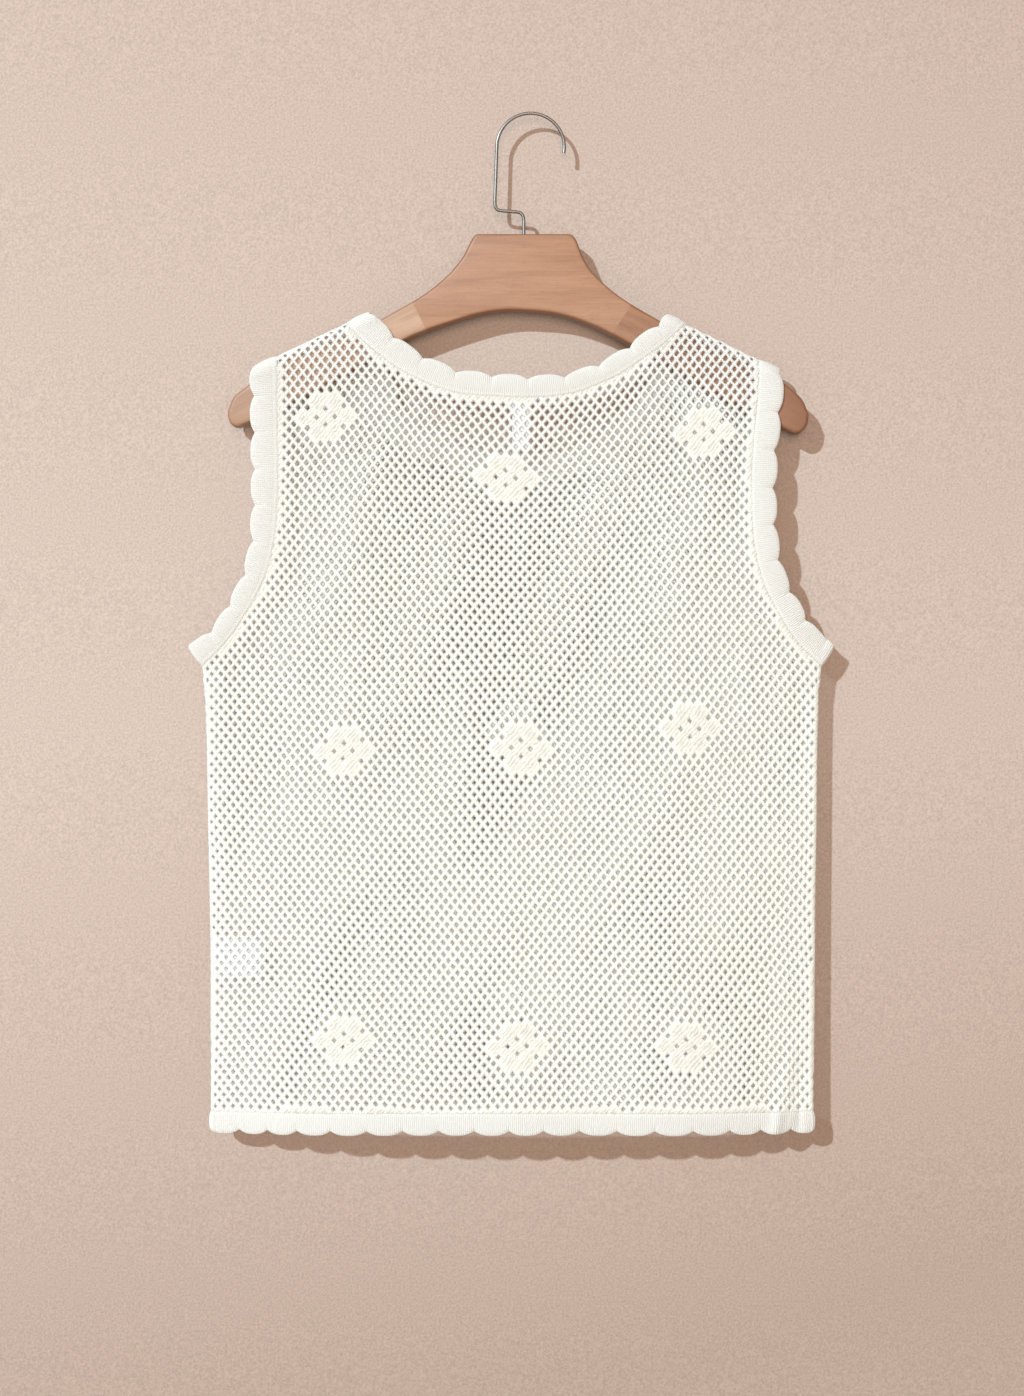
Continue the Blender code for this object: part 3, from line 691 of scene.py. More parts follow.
# Half widths and half heights in millimetres: at the hem, added up the body, and at the shoulders.
ROUND_WIDE, ROUND_TALL = (0.84, 0.20, 0.26), (1.05, 0.33, 0.38)
SLIT_WIDE, SLIT_TALL = (0.58, 0.14, 0.26), (1.32, 0.18, 0.34)
ROUND_LEAN, SLIT_LEAN, SLIT_UPRIGHT = 0.14, 0.64, 0.14  # slits stand up more on the body
LEAN_SWAP = 0.030  # holes lean the other way on the other side of the middle
UNEVEN_SIZE, UNEVEN_LEAN, HOLE_SEED = 0.10, 0.12, 7
EYE_WIDE, EYE_TALL, EYE_LEAN = 0.00075, 0.00155, -0.15
MOST_REACH = 0.72  # of the way out to the edge of its diamond


def grown(measure, body, shoulders):
    """A measure of the holes, with what it grows by on the body and at the shoulders."""
    low, on_body, at_shoulders = measure
    return low + on_body * body + at_shoulders * shoulders


def hole_shape(q, x, h, small, chance):
    """Half width, half height and lean of each hole. Rows alternate, and holes grow upwards."""
    growth = [ease((h - foot) / run) for foot, run in (BODY, SHOULDERS)]
    round_row = q % 2 == 0
    wide = np.where(round_row, grown(ROUND_WIDE, *growth), grown(SLIT_WIDE, *growth))
    tall = np.where(round_row, grown(ROUND_TALL, *growth), grown(SLIT_TALL, *growth))
    lean = np.where(round_row, ROUND_LEAN, SLIT_LEAN - SLIT_UPRIGHT * growth[0])
    lean = lean * np.tanh((x - NET_MIDDLE) / LEAN_SWAP)
    size = small * (1 + UNEVEN_SIZE * chance.standard_normal(len(x))) / 1000
    return wide * size, tall * size, lean + UNEVEN_LEAN * chance.standard_normal(len(x))


def knit_panel(side):
    """All stitches of a panel: where they lie, their holes, and which are closed."""
    stretches = panel_edge(side)
    ring = np.vstack(list(stretches.values()))
    # The holes stand on every other lattice place, and their corners on the places between.
    p, q = np.meshgrid(np.arange(-MOST_ACROSS, MOST_ACROSS + 1), np.arange(-BELOW, MOST_UP))
    stand = (p + q) % 2 == 0
    p, q = p[stand], q[stand]
    outer = np.stack([np.stack([p + u, q + v], axis=1) for u, v in CORNERS], axis=1)
    keys, index = np.unique(outer.reshape(-1, 2), axis=0, return_inverse=True)
    index = index.reshape(-1, 4)
    flat = settle(side, NET_MIDDLE + keys[:, 0] * PITCH / 2, NET_FOOT + keys[:, 1] * ROW)
    flat = np.stack(flat, axis=1)
    within = inside(flat, ring)
    used = within[index].any(axis=1)
    p, q, index = p[used], q[used], index[used]
    # Corners that fall outside are brought onto the edge, and diamonds that it cuts are closed.
    outside = np.zeros(len(flat), bool)
    outside[np.unique(index)] = True
    outside &= ~within
    laid = flat.copy()
    laid[outside] = nearest(flat[outside], np.vstack([ring, ring[:1]]))[1]
    centre = np.stack(settle(side, NET_MIDDLE + p * PITCH / 2, NET_FOOT + q * ROW), axis=1)
    solid = ~within[index].all(axis=1)
    centre[solid] = laid[index][solid].mean(axis=1)
    # Holes start small beside a closed margin and grow to their full size.
    small = np.full(len(centre), OPEN[side])
    for name, line in stretches.items():
        margin, first, run = EDGING[name.split()[-1]]
        room = nearest(centre, line)[0] - margin
        solid |= room < 0
        small = np.minimum(small, OPEN[side] * (first + (1 - first) * ease(room / run)))
    panel = {"side": side, "p": p, "q": q, "outer": index, "laid": laid, "keys": keys}
    return {**panel, **open_holes(side, p, q, centre, laid[index], solid, small)}


def open_holes(side, p, q, centre, outer, solid, small):
    """The ring of eight points round each hole. Flower stitches are closed, or small eyes."""
    chance = np.random.default_rng(HOLE_SEED + side)
    wide, tall, lean = hole_shape(q, centre[:, 0], centre[:, 1], small, chance)
    worked = np.zeros(len(p), bool)
    cells = flower_cells(side)
    for i, place in enumerate(zip(p.tolist(), q.tolist())):
        kind = cells.get(place)
        worked[i] = kind == "closed"
        if kind in EYES:
            wide[i], tall[i], lean[i] = EYE_WIDE, EYE_TALL, EYE_LEAN
            centre[i, 1] += EYES[kind]
    halfway = 0.5 * (outer + np.roll(outer, -1, axis=1))
    away = np.stack([outer, halfway], axis=2).reshape(-1, 8, 2) - centre[:, None, :]
    angle = np.arctan2(away[..., 1], away[..., 0])
    turned = angle + lean[:, None]
    reach = 1 / np.sqrt((np.cos(turned) / wide[:, None]) ** 2 + (np.sin(turned) / tall[:, None]) ** 2)
    reach = np.minimum(reach, MOST_REACH * np.linalg.norm(away, axis=2))
    rim = centre[:, None, :] + np.stack([np.cos(angle), np.sin(angle)], axis=-1) * reach[..., None]
    return {"centre": centre, "rim": rim, "solid": solid | worked, "worked": worked}


# %% Make a piece of net
STRAND = 0.00044  # half thickness
WORKED, HOLLOW = 0.00050, 0.00030  # half thickness of a flower's stitch, and of a closed margin's
UNEVEN, YARN_SEED = 0.07, 3
KNOB, KNOB_REACH = 0.0002, 0.004  # the side seams bunch a little at every other row


def strands(p, q, closed):
    """A lattice place counted in strands both ways, and whether it is closed."""
    return np.stack([0.5 * (p + q), 0.5 * (p - q), np.broadcast_to(closed, np.shape(p))], axis=-1)


def share_of(outer, chosen, count):
    """How many of the tiles round each corner are chosen, as a share."""
    tiles = np.maximum(1, np.bincount(outer.ravel(), minlength=count))
    return np.bincount(outer.ravel(), np.repeat(chosen, 4), minlength=count) / tiles


def thickness(panel):
    """Half the thickness of the cloth at each corner of the net."""
    flat, uneven = panel["laid"], np.random.default_rng(YARN_SEED)
    thick = STRAND * (1 + UNEVEN * uneven.standard_normal(len(flat)))
    thick = thick + (WORKED - thick) * share_of(panel["outer"], panel["worked"], len(flat))
    edge = np.minimum(*(np.abs(flat[:, 0] - line) for line in flat_edges(flat[:, 1])))
    near_seam = np.where(flat[:, 1] < UNDERARM, np.exp(-((edge / KNOB_REACH) ** 2)), 0)
    return thick + KNOB * near_seam * np.cos(np.pi * panel["keys"][:, 1])


def net_points(panel):
    """Corners in front and behind, the rings round holes, and the middles of closed stitches."""
    side, flat, solid = panel["side"], panel["laid"], panel["solid"]
    rings, middles = panel["rim"][~solid].reshape(-1, 2), panel["centre"][solid]
    thick = thickness(panel)
    closed_thick = np.where(panel["worked"], WORKED, HOLLOW)[solid]
    x, h = np.vstack([flat, flat, rings, middles, middles]).T
    lift = np.concatenate([thick, -thick, np.zeros(len(rings)), closed_thick, -closed_thick])
    return form(side, x, h) + outward(side, x, h) * lift[:, None]


def strand_counts(panel):
    """The same points counted in strands, for the look of the yarn."""
    p, q, keys, solid = (panel[part] for part in ("p", "q", "keys", "solid"))
    off = (panel["rim"] - panel["centre"][:, None, :])[~solid] / (0.5 * PITCH, ROW)
    corners = strands(keys[:, 0], keys[:, 1], share_of(panel["outer"], solid, len(keys)))
    rings = strands(p[~solid][:, None] + off[..., 0], q[~solid][:, None] + off[..., 1], 0.0)
    middles = strands(p[solid], q[solid], 1.0)
    return np.vstack([corners, corners, rings.reshape(-1, 3), middles, middles])


def net_faces(outer, solid, count):
    """Faces from each corner of a diamond to the next, and a strip that closes the outer edge."""
    open_ones, closed_ones = outer[~solid], outer[solid]
    ring = 2 * count + np.arange(8 * len(open_ones)).reshape(-1, 8)
    middle = 2 * count + ring.size + np.arange(len(closed_ones))
    faces = []
    for k in range(4):
        a, b = open_ones[:, k], open_ones[:, (k + 1) % 4]
        c, d = a + count, b + count
        first, half, last = ring[:, 2 * k], ring[:, 2 * k + 1], ring[:, (2 * k + 2) % 8]
        faces += [(a, b, half), (b, last, half), (a, half, first)]
        faces += [(d, c, half), (last, d, half), (half, c, first)]
        a, b = closed_ones[:, k], closed_ones[:, (k + 1) % 4]
        faces += [(a, b, middle), (b + count, a + count, middle + len(closed_ones))]
    sides = np.stack([outer, np.roll(outer, -1, axis=1)], axis=-1).reshape(-1, 2)
    _, where, uses = np.unique(np.sort(sides, axis=1), axis=0, return_index=True, return_counts=True)
    a, b = sides[where[uses == 1]].T
    faces += [(b, a, a + count), (b, a + count, b + count)]
    return np.vstack([np.stack(corners, axis=1) for corners in faces])


def net_mesh(panel):
    """Points, faces and strand counts of a panel, without the points that no face uses."""
    faces = net_faces(panel["outer"], panel["solid"], len(panel["laid"]))
    if panel["side"] == FRONT:
        faces = faces[:, ::-1]
    used, faces = np.unique(faces, return_inverse=True)
    return net_points(panel)[used], faces.reshape(-1, 3).tolist(), strand_counts(panel)[used]


def flat_size(panel):
    """Width and length of the cut, and its area as it lies flat."""
    corners = panel["laid"][panel["outer"]]
    width, length = corners.reshape(-1, 2).max(axis=0) - corners.reshape(-1, 2).min(axis=0)
    x, h = corners[..., 0], corners[..., 1]
    area = 0.5 * np.abs((x * np.roll(h, -1, axis=1) - h * np.roll(x, -1, axis=1)).sum(axis=1)).sum()
    return float(width), float(length), float(area)


for side, word, solid_node in ((BACK, "back", "back_panel"), (FRONT, "front", "front_panel")):
    panel = knit_panel(side)
    points, faces, stitches = net_mesh(panel)
    piece = new_piece(f"{word}_net", points, faces, NET, "stitch", stitches)
    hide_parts(solid_node)
    width, length, area = flat_size(panel)
    print(piece.name, triangles(piece), "triangles,", round(width, 3), "x", round(length, 3), "m")
    print(piece.name, "volume", volume(piece), "cm3")

# %% [markdown]
# ## Scalloped trims
# The trims are knitted densely and sideways, so fine ribs run across them, and every few
# centimetres the edge swells into a lobe. A trim could be a flat ribbon with a wavy edge, but
# a real one is soft: it is thickest in the middle, and each lobe puffs up and dips at the
# notches. So it is a skin through many rounded sections, one for each step along its seam.

# %% Sections of a trim
BAND_SECTION = np.array(  # share of the width, offset out of the form in millimetres, puff
    [
        (-0.160, 0.10, 0.0),
        (-0.080, 0.46, 0.0),
        (0.020, 0.78, 0.0),
        (0.120, 1.08, 0.0),
        (0.260, 1.45, 0.1),
        (0.450, 1.62, 0.3),
        (0.640, 1.64, 0.6),
        (0.800, 1.50, 0.9),
        (0.910, 1.18, 1.0),
        (0.975, 0.70, 0.7),
        (1.000, 0.10, 0.1),
        (0.965, -0.50, 0.0),
        (0.800, -0.95, -0.2),
        (0.400, -1.10, -0.2),
        (0.000, -0.90, 0.0),
    ]
)
SCALLOP_RISE, SCALLOP_ROUND = 0.0034, 2.6  # how far a lobe swells, and how full it is
GROOVE, GROOVE_ROUND = 0.0008, 6.0  # each notch runs on inwards as a soft groove
SEAM_GAP = 0.0003  # between two pieces that are sewn together
TURN, TIP_WIDTH = 0.028, 0.0162  # run over which a trim turns to meet the next, and width at a tip


def unit(vectors):
    """Vectors brought to a length of one."""
    return vectors / np.linalg.norm(vectors, axis=-1, keepdims=True)


def square_to(line, turn):
    """Directions square to a flat line, to its left or, with a turn of -1, to its right."""
    run = unit(np.gradient(line, axis=0))
    return np.stack([-run[:, 1], run[:, 0]], axis=1) * turn


def turned(directions, distances, first, last):
    """Directions turned to meet a given one at either end."""
    start = ease(distances / TURN)[:, None]
    end = ease((distances[-1] - distances) / TURN)[:, None]
    directions = np.asarray(first) * (1 - start) + directions * start
    return unit(np.asarray(last) * (1 - end) + directions * end)


def along_ridge(x, to_the_right):
    """The way along the shoulder ridge at a place."""
    slope = float(ridge(np.float64(x))[1])
    return unit(np.array([1.0, slope])) * (1 if to_the_right else -1)


def lobe(phase):
    """The share that an edge swells by: none at a notch, and all of it half way to the next."""
    return 1 - np.abs(2 * (phase % 1.0) - 1) ** SCALLOP_ROUND


def band(side, seam, directions, width, phase, shift=0.0, grooved=1.0):
    """The rings of one half of a trim, and their flat places for the ribs.

    Shift moves the ribs along, in millimetres. Grooved is the share of a full groove.
    """
    start = seam + directions * 0.5 * SEAM_GAP
    share, offset, puff = BAND_SECTION.T
    place = start[:, None, :] + directions[:, None, :] * (width[:, None] * share)[..., None]
    groove = np.abs(2 * (phase % 1.0) - 1) ** GROOVE_ROUND * GROOVE * grooved
    lift = offset / 1000 - groove[:, None] * puff
    x, h = place[..., 0], place[..., 1]
    points = form(side, x, h) + outward(side, x, h) * lift[..., None]
    run = along(start) * 1000 + shift
    knit = np.stack(
        [np.broadcast_to(run[:, None], x.shape), width[:, None] * share * 1000, np.ones(x.shape)], axis=-1
    )
    return points, knit


def trim_piece(name, rings, knit, closed, flip):
    """A skin through the rings of a trim."""
    count, around = rings.shape[:2]
    last = count if closed else count - 1
    a = np.arange(last)[:, None] * around + np.arange(around)
    b = ((np.arange(last) + 1) % count)[:, None] * around + np.arange(around)
    faces = np.stack([a, np.roll(a, -1, axis=1), np.roll(b, -1, axis=1), b], axis=-1)
    faces = faces.reshape(-1, 4).tolist()
    if not closed:
        faces.append(list(range(around))[::-1])
        faces.append(list(range((count - 1) * around, count * around)))
    if flip:
        faces = [face[::-1] for face in faces]
    piece = new_piece(name, rings.reshape(-1, 3), faces, TRIM, "knit_mm", knit.reshape(-1, 3))
    return piece


# %% The neck trim
NECK_BAND = np.array(  # across, width
    [(NECK_LEFT, 0.0155), (-0.095, 0.0134), (-0.010, 0.0116), (0.060, 0.0100), (NECK_RIGHT, 0.0108)]
)
NECK_PITCH, NECK_FIRST = 0.0262, 0.0306  # between notches, and where one of the back's lies
for side, word in ((BACK, "back"), (FRONT, "front")):
    seam = neck_seam(side)
    directions = turned(
        square_to(seam, 1), along(seam), along_ridge(NECK_LEFT, True), along_ridge(NECK_RIGHT, False)
    )
    width = np.interp(seam[:, 0], NECK_BAND[:, 0], NECK_BAND[:, 1])
    notches = along(seam + directions * width[:, None])
    phase = ((notches if side == BACK else -notches) - NECK_FIRST) / NECK_PITCH
    width = width + SCALLOP_RISE * lobe(phase)
    rings, knit = band(side, seam, directions, width, phase)
    piece = trim_piece(f"{word}_neck_band", rings, knit, closed=False, flip=side == BACK)
    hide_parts(f"neck_trim_{word}")
    print(piece.name, triangles(piece), "volume", volume(piece), "cm3")

# %% [markdown]
# Each armhole trim is one ring. It starts at the underarm, runs up the back, over the shoulder
# and down the front, and its two halves fold together at the underarm into a point.

# %% The armhole trims
ARMHOLE_BAND = {-1: (0.0098, 0.0150), 1: (0.0122, 0.0138)}  # width near the underarm, and above
ARMHOLE_LOBES = {-1: (0.0, 9.0, 0.92), 1: (0.5, 8.8, 0.88)}  # first, count, crowding
ARMHOLE_GROWS, FAR_RIBS = 1.5, 500.0  # how soon it is at full width, and the far half's shift
for hand, word in ((-1, "left"), (1, "right")):
    seam = armhole_seam(hand)
    column = 1 if hand < 0 else 2
    tip, foot = np.array([SIDES[5, column], TIP]), np.array([SIDES[4, column], UNDERARM])
    distances = along(seam)
    directions = turned(
        square_to(seam, -hand), distances, unit(tip - foot), along_ridge(seam[-1, 0], hand > 0)
    )
    low, high = ARMHOLE_BAND[hand]
    first, count, crowding = ARMHOLE_LOBES[hand]
    notches = along(seam + directions * high)
    share = notches / notches[-1]
    phase = first + count * share**crowding
    width = low + (high - low) * ease(ARMHOLE_GROWS * share) + SCALLOP_RISE * lobe(phase)
    width = TIP_WIDTH + (width - TIP_WIDTH) * ease(notches / TURN)
    near, near_knit = band(BACK, seam, directions, width, phase)
    far, far_knit = band(FRONT, seam, directions, width, phase, shift=FAR_RIBS)
    rings = np.concatenate([near, far[-2:0:-1]])
    knit = np.concatenate([near_knit, far_knit[-2:0:-1]])
    piece = trim_piece(f"{word}_armhole_band", rings, knit, closed=True, flip=hand < 0)
    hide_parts(f"armhole_trim_{word}")
    print(piece.name, triangles(piece), "volume", volume(piece), "cm3")

# %% The hem trim
HEM_BAND, HEM_GROOVE = 0.0112, 0.4
HEM_SECTIONS, HEM_END = 760, 0.0001  # steps along the trim, and its room at the side seams
HEM_NOTCHES = (  # across, from left to right
    *(-0.2104, -0.1895, -0.1679, -0.1434, -0.1174, -0.0916, -0.0657, -0.0405, -0.0155),
    *(0.0090, 0.0347, 0.0613, 0.0886, 0.1163, 0.1429, 0.1658, 0.1881),
)
left, right = (float(edge) for edge in flat_edges(HEM_SIDE))
stops = [left, *HEM_NOTCHES, right]
for side, word in ((BACK, "back"), (FRONT, "front")):
    x = np.linspace(left + HEM_END, right - HEM_END, HEM_SECTIONS)
    seam = np.stack([x, hem(x)], axis=1)
    phase = np.interp(x, stops, range(len(stops)))
    width = HEM_BAND + SCALLOP_RISE * lobe(phase)
    directions = np.broadcast_to(np.array([0.0, -1.0]), seam.shape)
    rings, knit = band(side, seam, directions, width, phase, grooved=HEM_GROOVE)
    piece = trim_piece(f"{word}_hem_band", rings, knit, closed=False, flip=side == FRONT)
    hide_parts(f"hem_trim_{word}")
    print(piece.name, triangles(piece), "volume", volume(piece), "cm3")

# %% [markdown]
# ## Labels
# Two blank tapes lie inside the back: a narrow one below the neckline and a care label in the
# left side seam. They are woven ribbon, smoother and whiter than the yarn.

# %% Label tape
TAPE, tree, shader = new_finish("white label tape")
place = node(tree, "ShaderNodeAttribute", attribute_name="knit_mm").outputs["Vector"]
weave = node(tree, "ShaderNodeTexWave", {"Vector": place, "Scale": 0.55, "Distortion": 0.4}).outputs[1]
cloudy = math_node(tree, "MULTIPLY", noise(tree, place, scale=0.12), 0.6)
tone = math_node(tree, "MULTIPLY_ADD", weave, 0.25, cloudy)
colour = mixed(tree, tone, (0.80, 0.82, 0.85, 1), (0.90, 0.91, 0.93, 1))
tree.links.new(colour, shader.inputs["Base Color"])
bump = node(tree, "ShaderNodeBump", {"Height": weave, "Distance": 0.00008})
tree.links.new(bump.outputs[0], shader.inputs["Normal"])
shader.inputs["Roughness"].default_value = 0.55

# %% The two labels
LABELS = {  # left, right, bottom, top
    "neck_label": (-0.0135, -0.0005, -0.2444, -0.2062),
    "care_label": (-0.2290, -0.1937, -0.6262, -0.5980),
}
TAPE_HALF, TAPE_IN = 0.0004, 0.0021  # half thickness, and how far it lies inside the form
TAPE_CURL, TAPE_SEWN, SEWN_RUN = 0.0007, 0.0006, 0.006  # the sides curl in, the top is sewn close
ACROSS, UP = 13, 25  # points across a label and up it
for solid_node, (x0, x1, h0, h1) in LABELS.items():
    x, h = np.meshgrid(np.linspace(x0, x1, ACROSS), np.linspace(h0, h1, UP))
    x, h = x.ravel(), h.ravel()
    normal = outward(BACK, x, h)
    curl = TAPE_CURL * np.abs(2 * (x - x0) / (x1 - x0) - 1) ** 3
    curl = curl - TAPE_SEWN * ease((h - h1 + SEWN_RUN) / SEWN_RUN)
    middle = form(BACK, x, h) - normal * (TAPE_IN + curl)[:, None]
    points = np.vstack([middle + normal * TAPE_HALF, middle - normal * TAPE_HALF])
    grid = np.arange(len(x)).reshape(UP, ACROSS)
    a, b = grid[:-1, :-1].ravel(), grid[:-1, 1:].ravel()
    c, d = grid[1:, 1:].ravel(), grid[1:, :-1].ravel()
    border = np.concatenate([grid[0, :], grid[1:, -1], grid[-1, -2::-1], grid[-2:0:-1, 0]])
    ahead = np.roll(border, -1)
    near = np.stack([a, b, c, d], axis=1)
    far = np.stack([d, c, b, a], axis=1) + len(x)
    rim = np.stack([ahead, border, border + len(x), ahead + len(x)], axis=1)
    places = np.column_stack([x, h, 0 * x]) * 1000
    tape = solid_node.replace("label", "tape")
    faces = np.vstack([near, far, rim]).tolist()
    piece = new_piece(tape, points, faces, TAPE, "knit_mm", np.vstack([places, places]))
    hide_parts(solid_node)
    print(piece.name, "volume", volume(piece), "cm3")

# %% [markdown]
# ## Beech
# Beech is pale orange-pink with fine grain along its length and short dark flecks. The hanger
# is glued from three pieces, and each has its own run of grain; the three are coloured apart,
# the right arm much darker than the left. One group makes the grain and the painted shade on
# the rounded edges and at the ends, and each piece's material sets the tones and the direction.

# %% Grain of the wood
STEM_AT = -0.009  # the two ends of the board are told by how far they lie from here


def beech_group():
    """Grain, flecks, and painted shade on the edges and ends. Nearer to the board's middle than Face, in
    millimetres, lies its edge.
    """
    group, given, out = new_group(
        "beech grain",
        [
            ("Place", "NodeSocketVector", None),
            ("Turn", "NodeSocketFloat", 0.0),
            ("Light", "NodeSocketColor", (0.6, 0.35, 0.2, 1)),
            ("Dark", "NodeSocketColor", (0.45, 0.24, 0.13, 1)),
            ("Edge shade", "NodeSocketColor", (0.4, 0.2, 0.1, 1)),
            ("Face", "NodeSocketFloat", 5.9),
        ],
        [("Colour", "NodeSocketColor"), ("Grain", "NodeSocketFloat")],
    )
    place = given.outputs["Place"]
    turn = {"Vector": place, "Axis": (0, 1, 0), "Angle": given.outputs["Turn"]}
    turned_place = node(group, "ShaderNodeVectorRotate", turn).outputs[0]

    def drawn_out(along_grain, across_grain):
        scale = (along_grain, across_grain, across_grain)
        return node(group, "ShaderNodeMapping", {"Vector": turned_place, "Scale": scale}).outputs[0]

    bands = noise(group, drawn_out(9.0, 130.0), scale=1.0, detail=5.0, distortion=0.6)
    lines = noise(group, drawn_out(60.0, 900.0), scale=1.0, detail=3.0)
    flecks = node(group, "ShaderNodeTexVoronoi", {"Vector": drawn_out(260.0, 1400.0), "Scale": 0.8})
    fleck = ramp(group, flecks.outputs[0], 0.05, 0.30, at_start=0.60, at_end=0.0)
    blend = math_node(group, "MULTIPLY_ADD", bands, 2.3, -0.72)
    blend = math_node(group, "MULTIPLY_ADD", lines, 1.10, math_node(group, "SUBTRACT", blend, 0.50))
    blend = math_node(group, "SUBTRACT", blend, fleck)
    colour = mixed(group, blend, given.outputs["Dark"], given.outputs["Light"])
    along_board, across, _ = node(group, "ShaderNodeSeparateXYZ", {0: place}).outputs
    # Painted shade: the colour darkens along the rounded edges of the faces and at the two ends of the
    # board.
    from_middle = math_node(group, "MULTIPLY", math_node(group, "ABSOLUTE", across), 1000.0)
    inward = math_node(group, "SUBTRACT", given.outputs["Face"], from_middle)
    edge_shade = ramp(group, inward, -0.35, 0.25, at_end=0.8)
    from_stem = math_node(group, "ABSOLUTE", math_node(group, "SUBTRACT", along_board, STEM_AT))
    at_end = ramp(group, from_stem, 0.165, 0.205, at_end=0.50)
    edge = math_node(group, "MAXIMUM", edge_shade, at_end)
    group.links.new(mixed(group, edge, colour, given.outputs["Edge shade"]), out.inputs["Colour"])
    group.links.new(blend, out.inputs["Grain"])
    return group


LIBRARY["beech grain"] = beech_group()


def beech(name, light, dark, edge, turn):
    """The wood of one piece of the hanger: its tones, the tone of the painted shade on its edges and
    ends, and the slope of its grain.
    """
    made, tree, shader = new_finish(name)
    place = node(tree, "ShaderNodeTexCoord")
    grain = node(tree, "ShaderNodeGroup", node_tree=LIBRARY["beech grain"])
    tree.links.new(place.outputs["Object"], grain.inputs["Place"])
    grain.inputs["Turn"].default_value = turn
    grain.inputs["Light"].default_value = (*light, 1)
    grain.inputs["Dark"].default_value = (*dark, 1)
    grain.inputs["Edge shade"].default_value = (*edge, 1)
    tree.links.new(grain.outputs["Colour"], shader.inputs["Base Color"])
    relief = {"Height": grain.outputs["Grain"], "Distance": 0.00012, "Strength": 0.6}
    bump = node(tree, "ShaderNodeBump", relief)
    tree.links.new(bump.outputs[0], shader.inputs["Normal"])
    shader.inputs["Roughness"].default_value = 0.48
    shader.inputs["Specular IOR Level"].default_value = 0.35
    return made


# %% [markdown]
# The hanger is one bowed board with rounded edges. It is drawn as a closed curve, given its
# thickness and a round bevel, and made a mesh. Copies of it are then cut at the two slanted
# glue joints, each keeping its own stretch, so the edges run on through the joints.

# %% The hanger's outline
WOOD, WOOD_ROUND = 0.013, 0.0028
HANGER_TOP, STEM_X = -0.0874, -0.0050
HANGER_UPPER_LEFT = (
    (-0.2195, -0.2157),
    (-0.2150, -0.2055),
    (-0.2052, -0.1974),
    (-0.1944, -0.1880),
    (-0.1814, -0.1806),
    (-0.1525, -0.1688),
    (-0.1235, -0.1572),
    (-0.0967, -0.1426),
    (-0.0767, -0.1308),
    (-0.0605, -0.1175),
    (-0.0500, -0.1050),
    (-0.0428, -0.0915),
)
HANGER_UPPER_RIGHT = (
    (0.0330, -0.0915),
    (0.0392, -0.1065),
    (0.0470, -0.1175),
    (0.0632, -0.1317),
    (0.0826, -0.1440),
    (0.1118, -0.1602),
    (0.1352, -0.1717),
    (0.1616, -0.1828),
    (0.1752, -0.1900),
    (0.1848, -0.1965),
    (0.1965, -0.2070),
    (0.2016, -0.2185),
)
HANGER_LOWER = (
    (0.1907, -0.2322),
    (0.1502, -0.2125),
    (0.1095, -0.1893),
    (0.0720, -0.1679),
    (0.0460, -0.1545),
    (0.0205, -0.1460),
    (-0.0056, -0.1432),
    (-0.0229, -0.1434),
    (-0.0426, -0.1471),
    (-0.0780, -0.1587),
    (-0.0967, -0.1676),
    (-0.1355, -0.1900),
    (-0.1752, -0.2115),
    (-0.2113, -0.2274),
)
SHOULDER = ((-0.0418, -0.0898), (-0.0405, -0.0883), (-0.0388, -0.0875), (-0.0370, HANGER_TOP))
RIGHT_END = ((0.2007, -0.2245), (0.1985, -0.2290), (0.1950, -0.2318))
LEFT_END = ((-0.2150, -0.2268), (-0.2177, -0.2245), (-0.2193, -0.2205))
JOINT_LEFT = ((-0.0860, -0.1366), (-0.0765, -0.1557))
JOINT_RIGHT = ((0.0733, -0.1382), (0.0600, -0.1583))
BOARD_STEP = 0.0016
outline = [*smooth(HANGER_UPPER_LEFT, BOARD_STEP), *SHOULDER]
outline += [(2 * STEM_X - x, z) for x, z in reversed(SHOULDER)]
outline += [*smooth(HANGER_UPPER_RIGHT, BOARD_STEP), *RIGHT_END]
outline += [*smooth(HANGER_LOWER, BOARD_STEP), *LEFT_END]
print("board:", len(outline), "points round it")


# %% Curves with thickness
def pick(thing):
    """Make one object the only chosen one."""
    bpy.ops.object.select_all(action="DESELECT")
    thing.select_set(True)
    bpy.context.view_layer.objects.active = thing


def new_curve(name, dimensions, points, closed):
    """A curve of short straight steps through points."""
    curve = bpy.data.curves.new(name, "CURVE")
    curve.dimensions = dimensions
    spline = curve.splines.new("POLY")
    spline.points.add(len(points) - 1)
    for point, place in zip(spline.points, points):
        point.co = (*place, 1)
    spline.use_cyclic_u = closed
    return curve


def curve_to_mesh(name, curve):
    """A mesh object made from the skin of a curve."""
    made = bpy.data.objects.new(name, curve)
    bpy.context.scene.collection.objects.link(made)
    pick(made)
    bpy.ops.object.convert(target="MESH")
    return made


curve = new_curve("board", "2D", [(x, z, 0) for x, z in outline], closed=True)
curve.fill_mode, curve.offset = "BOTH", -WOOD_ROUND
curve.extrude, curve.bevel_depth, curve.bevel_resolution = 0.5 * WOOD - WOOD_ROUND, WOOD_ROUND, 3
board = curve_to_mesh("board", curve)
board.rotation_euler.x = 0.5 * math.pi
bpy.ops.object.transform_apply(rotation=True)

# %% Cut the board at its joints
MERGE = 0.00001  # points nearer than this become one
BOARD_SHARP, WIRE_SHARP = 35, 40  # in degrees: steeper edges stay sharp


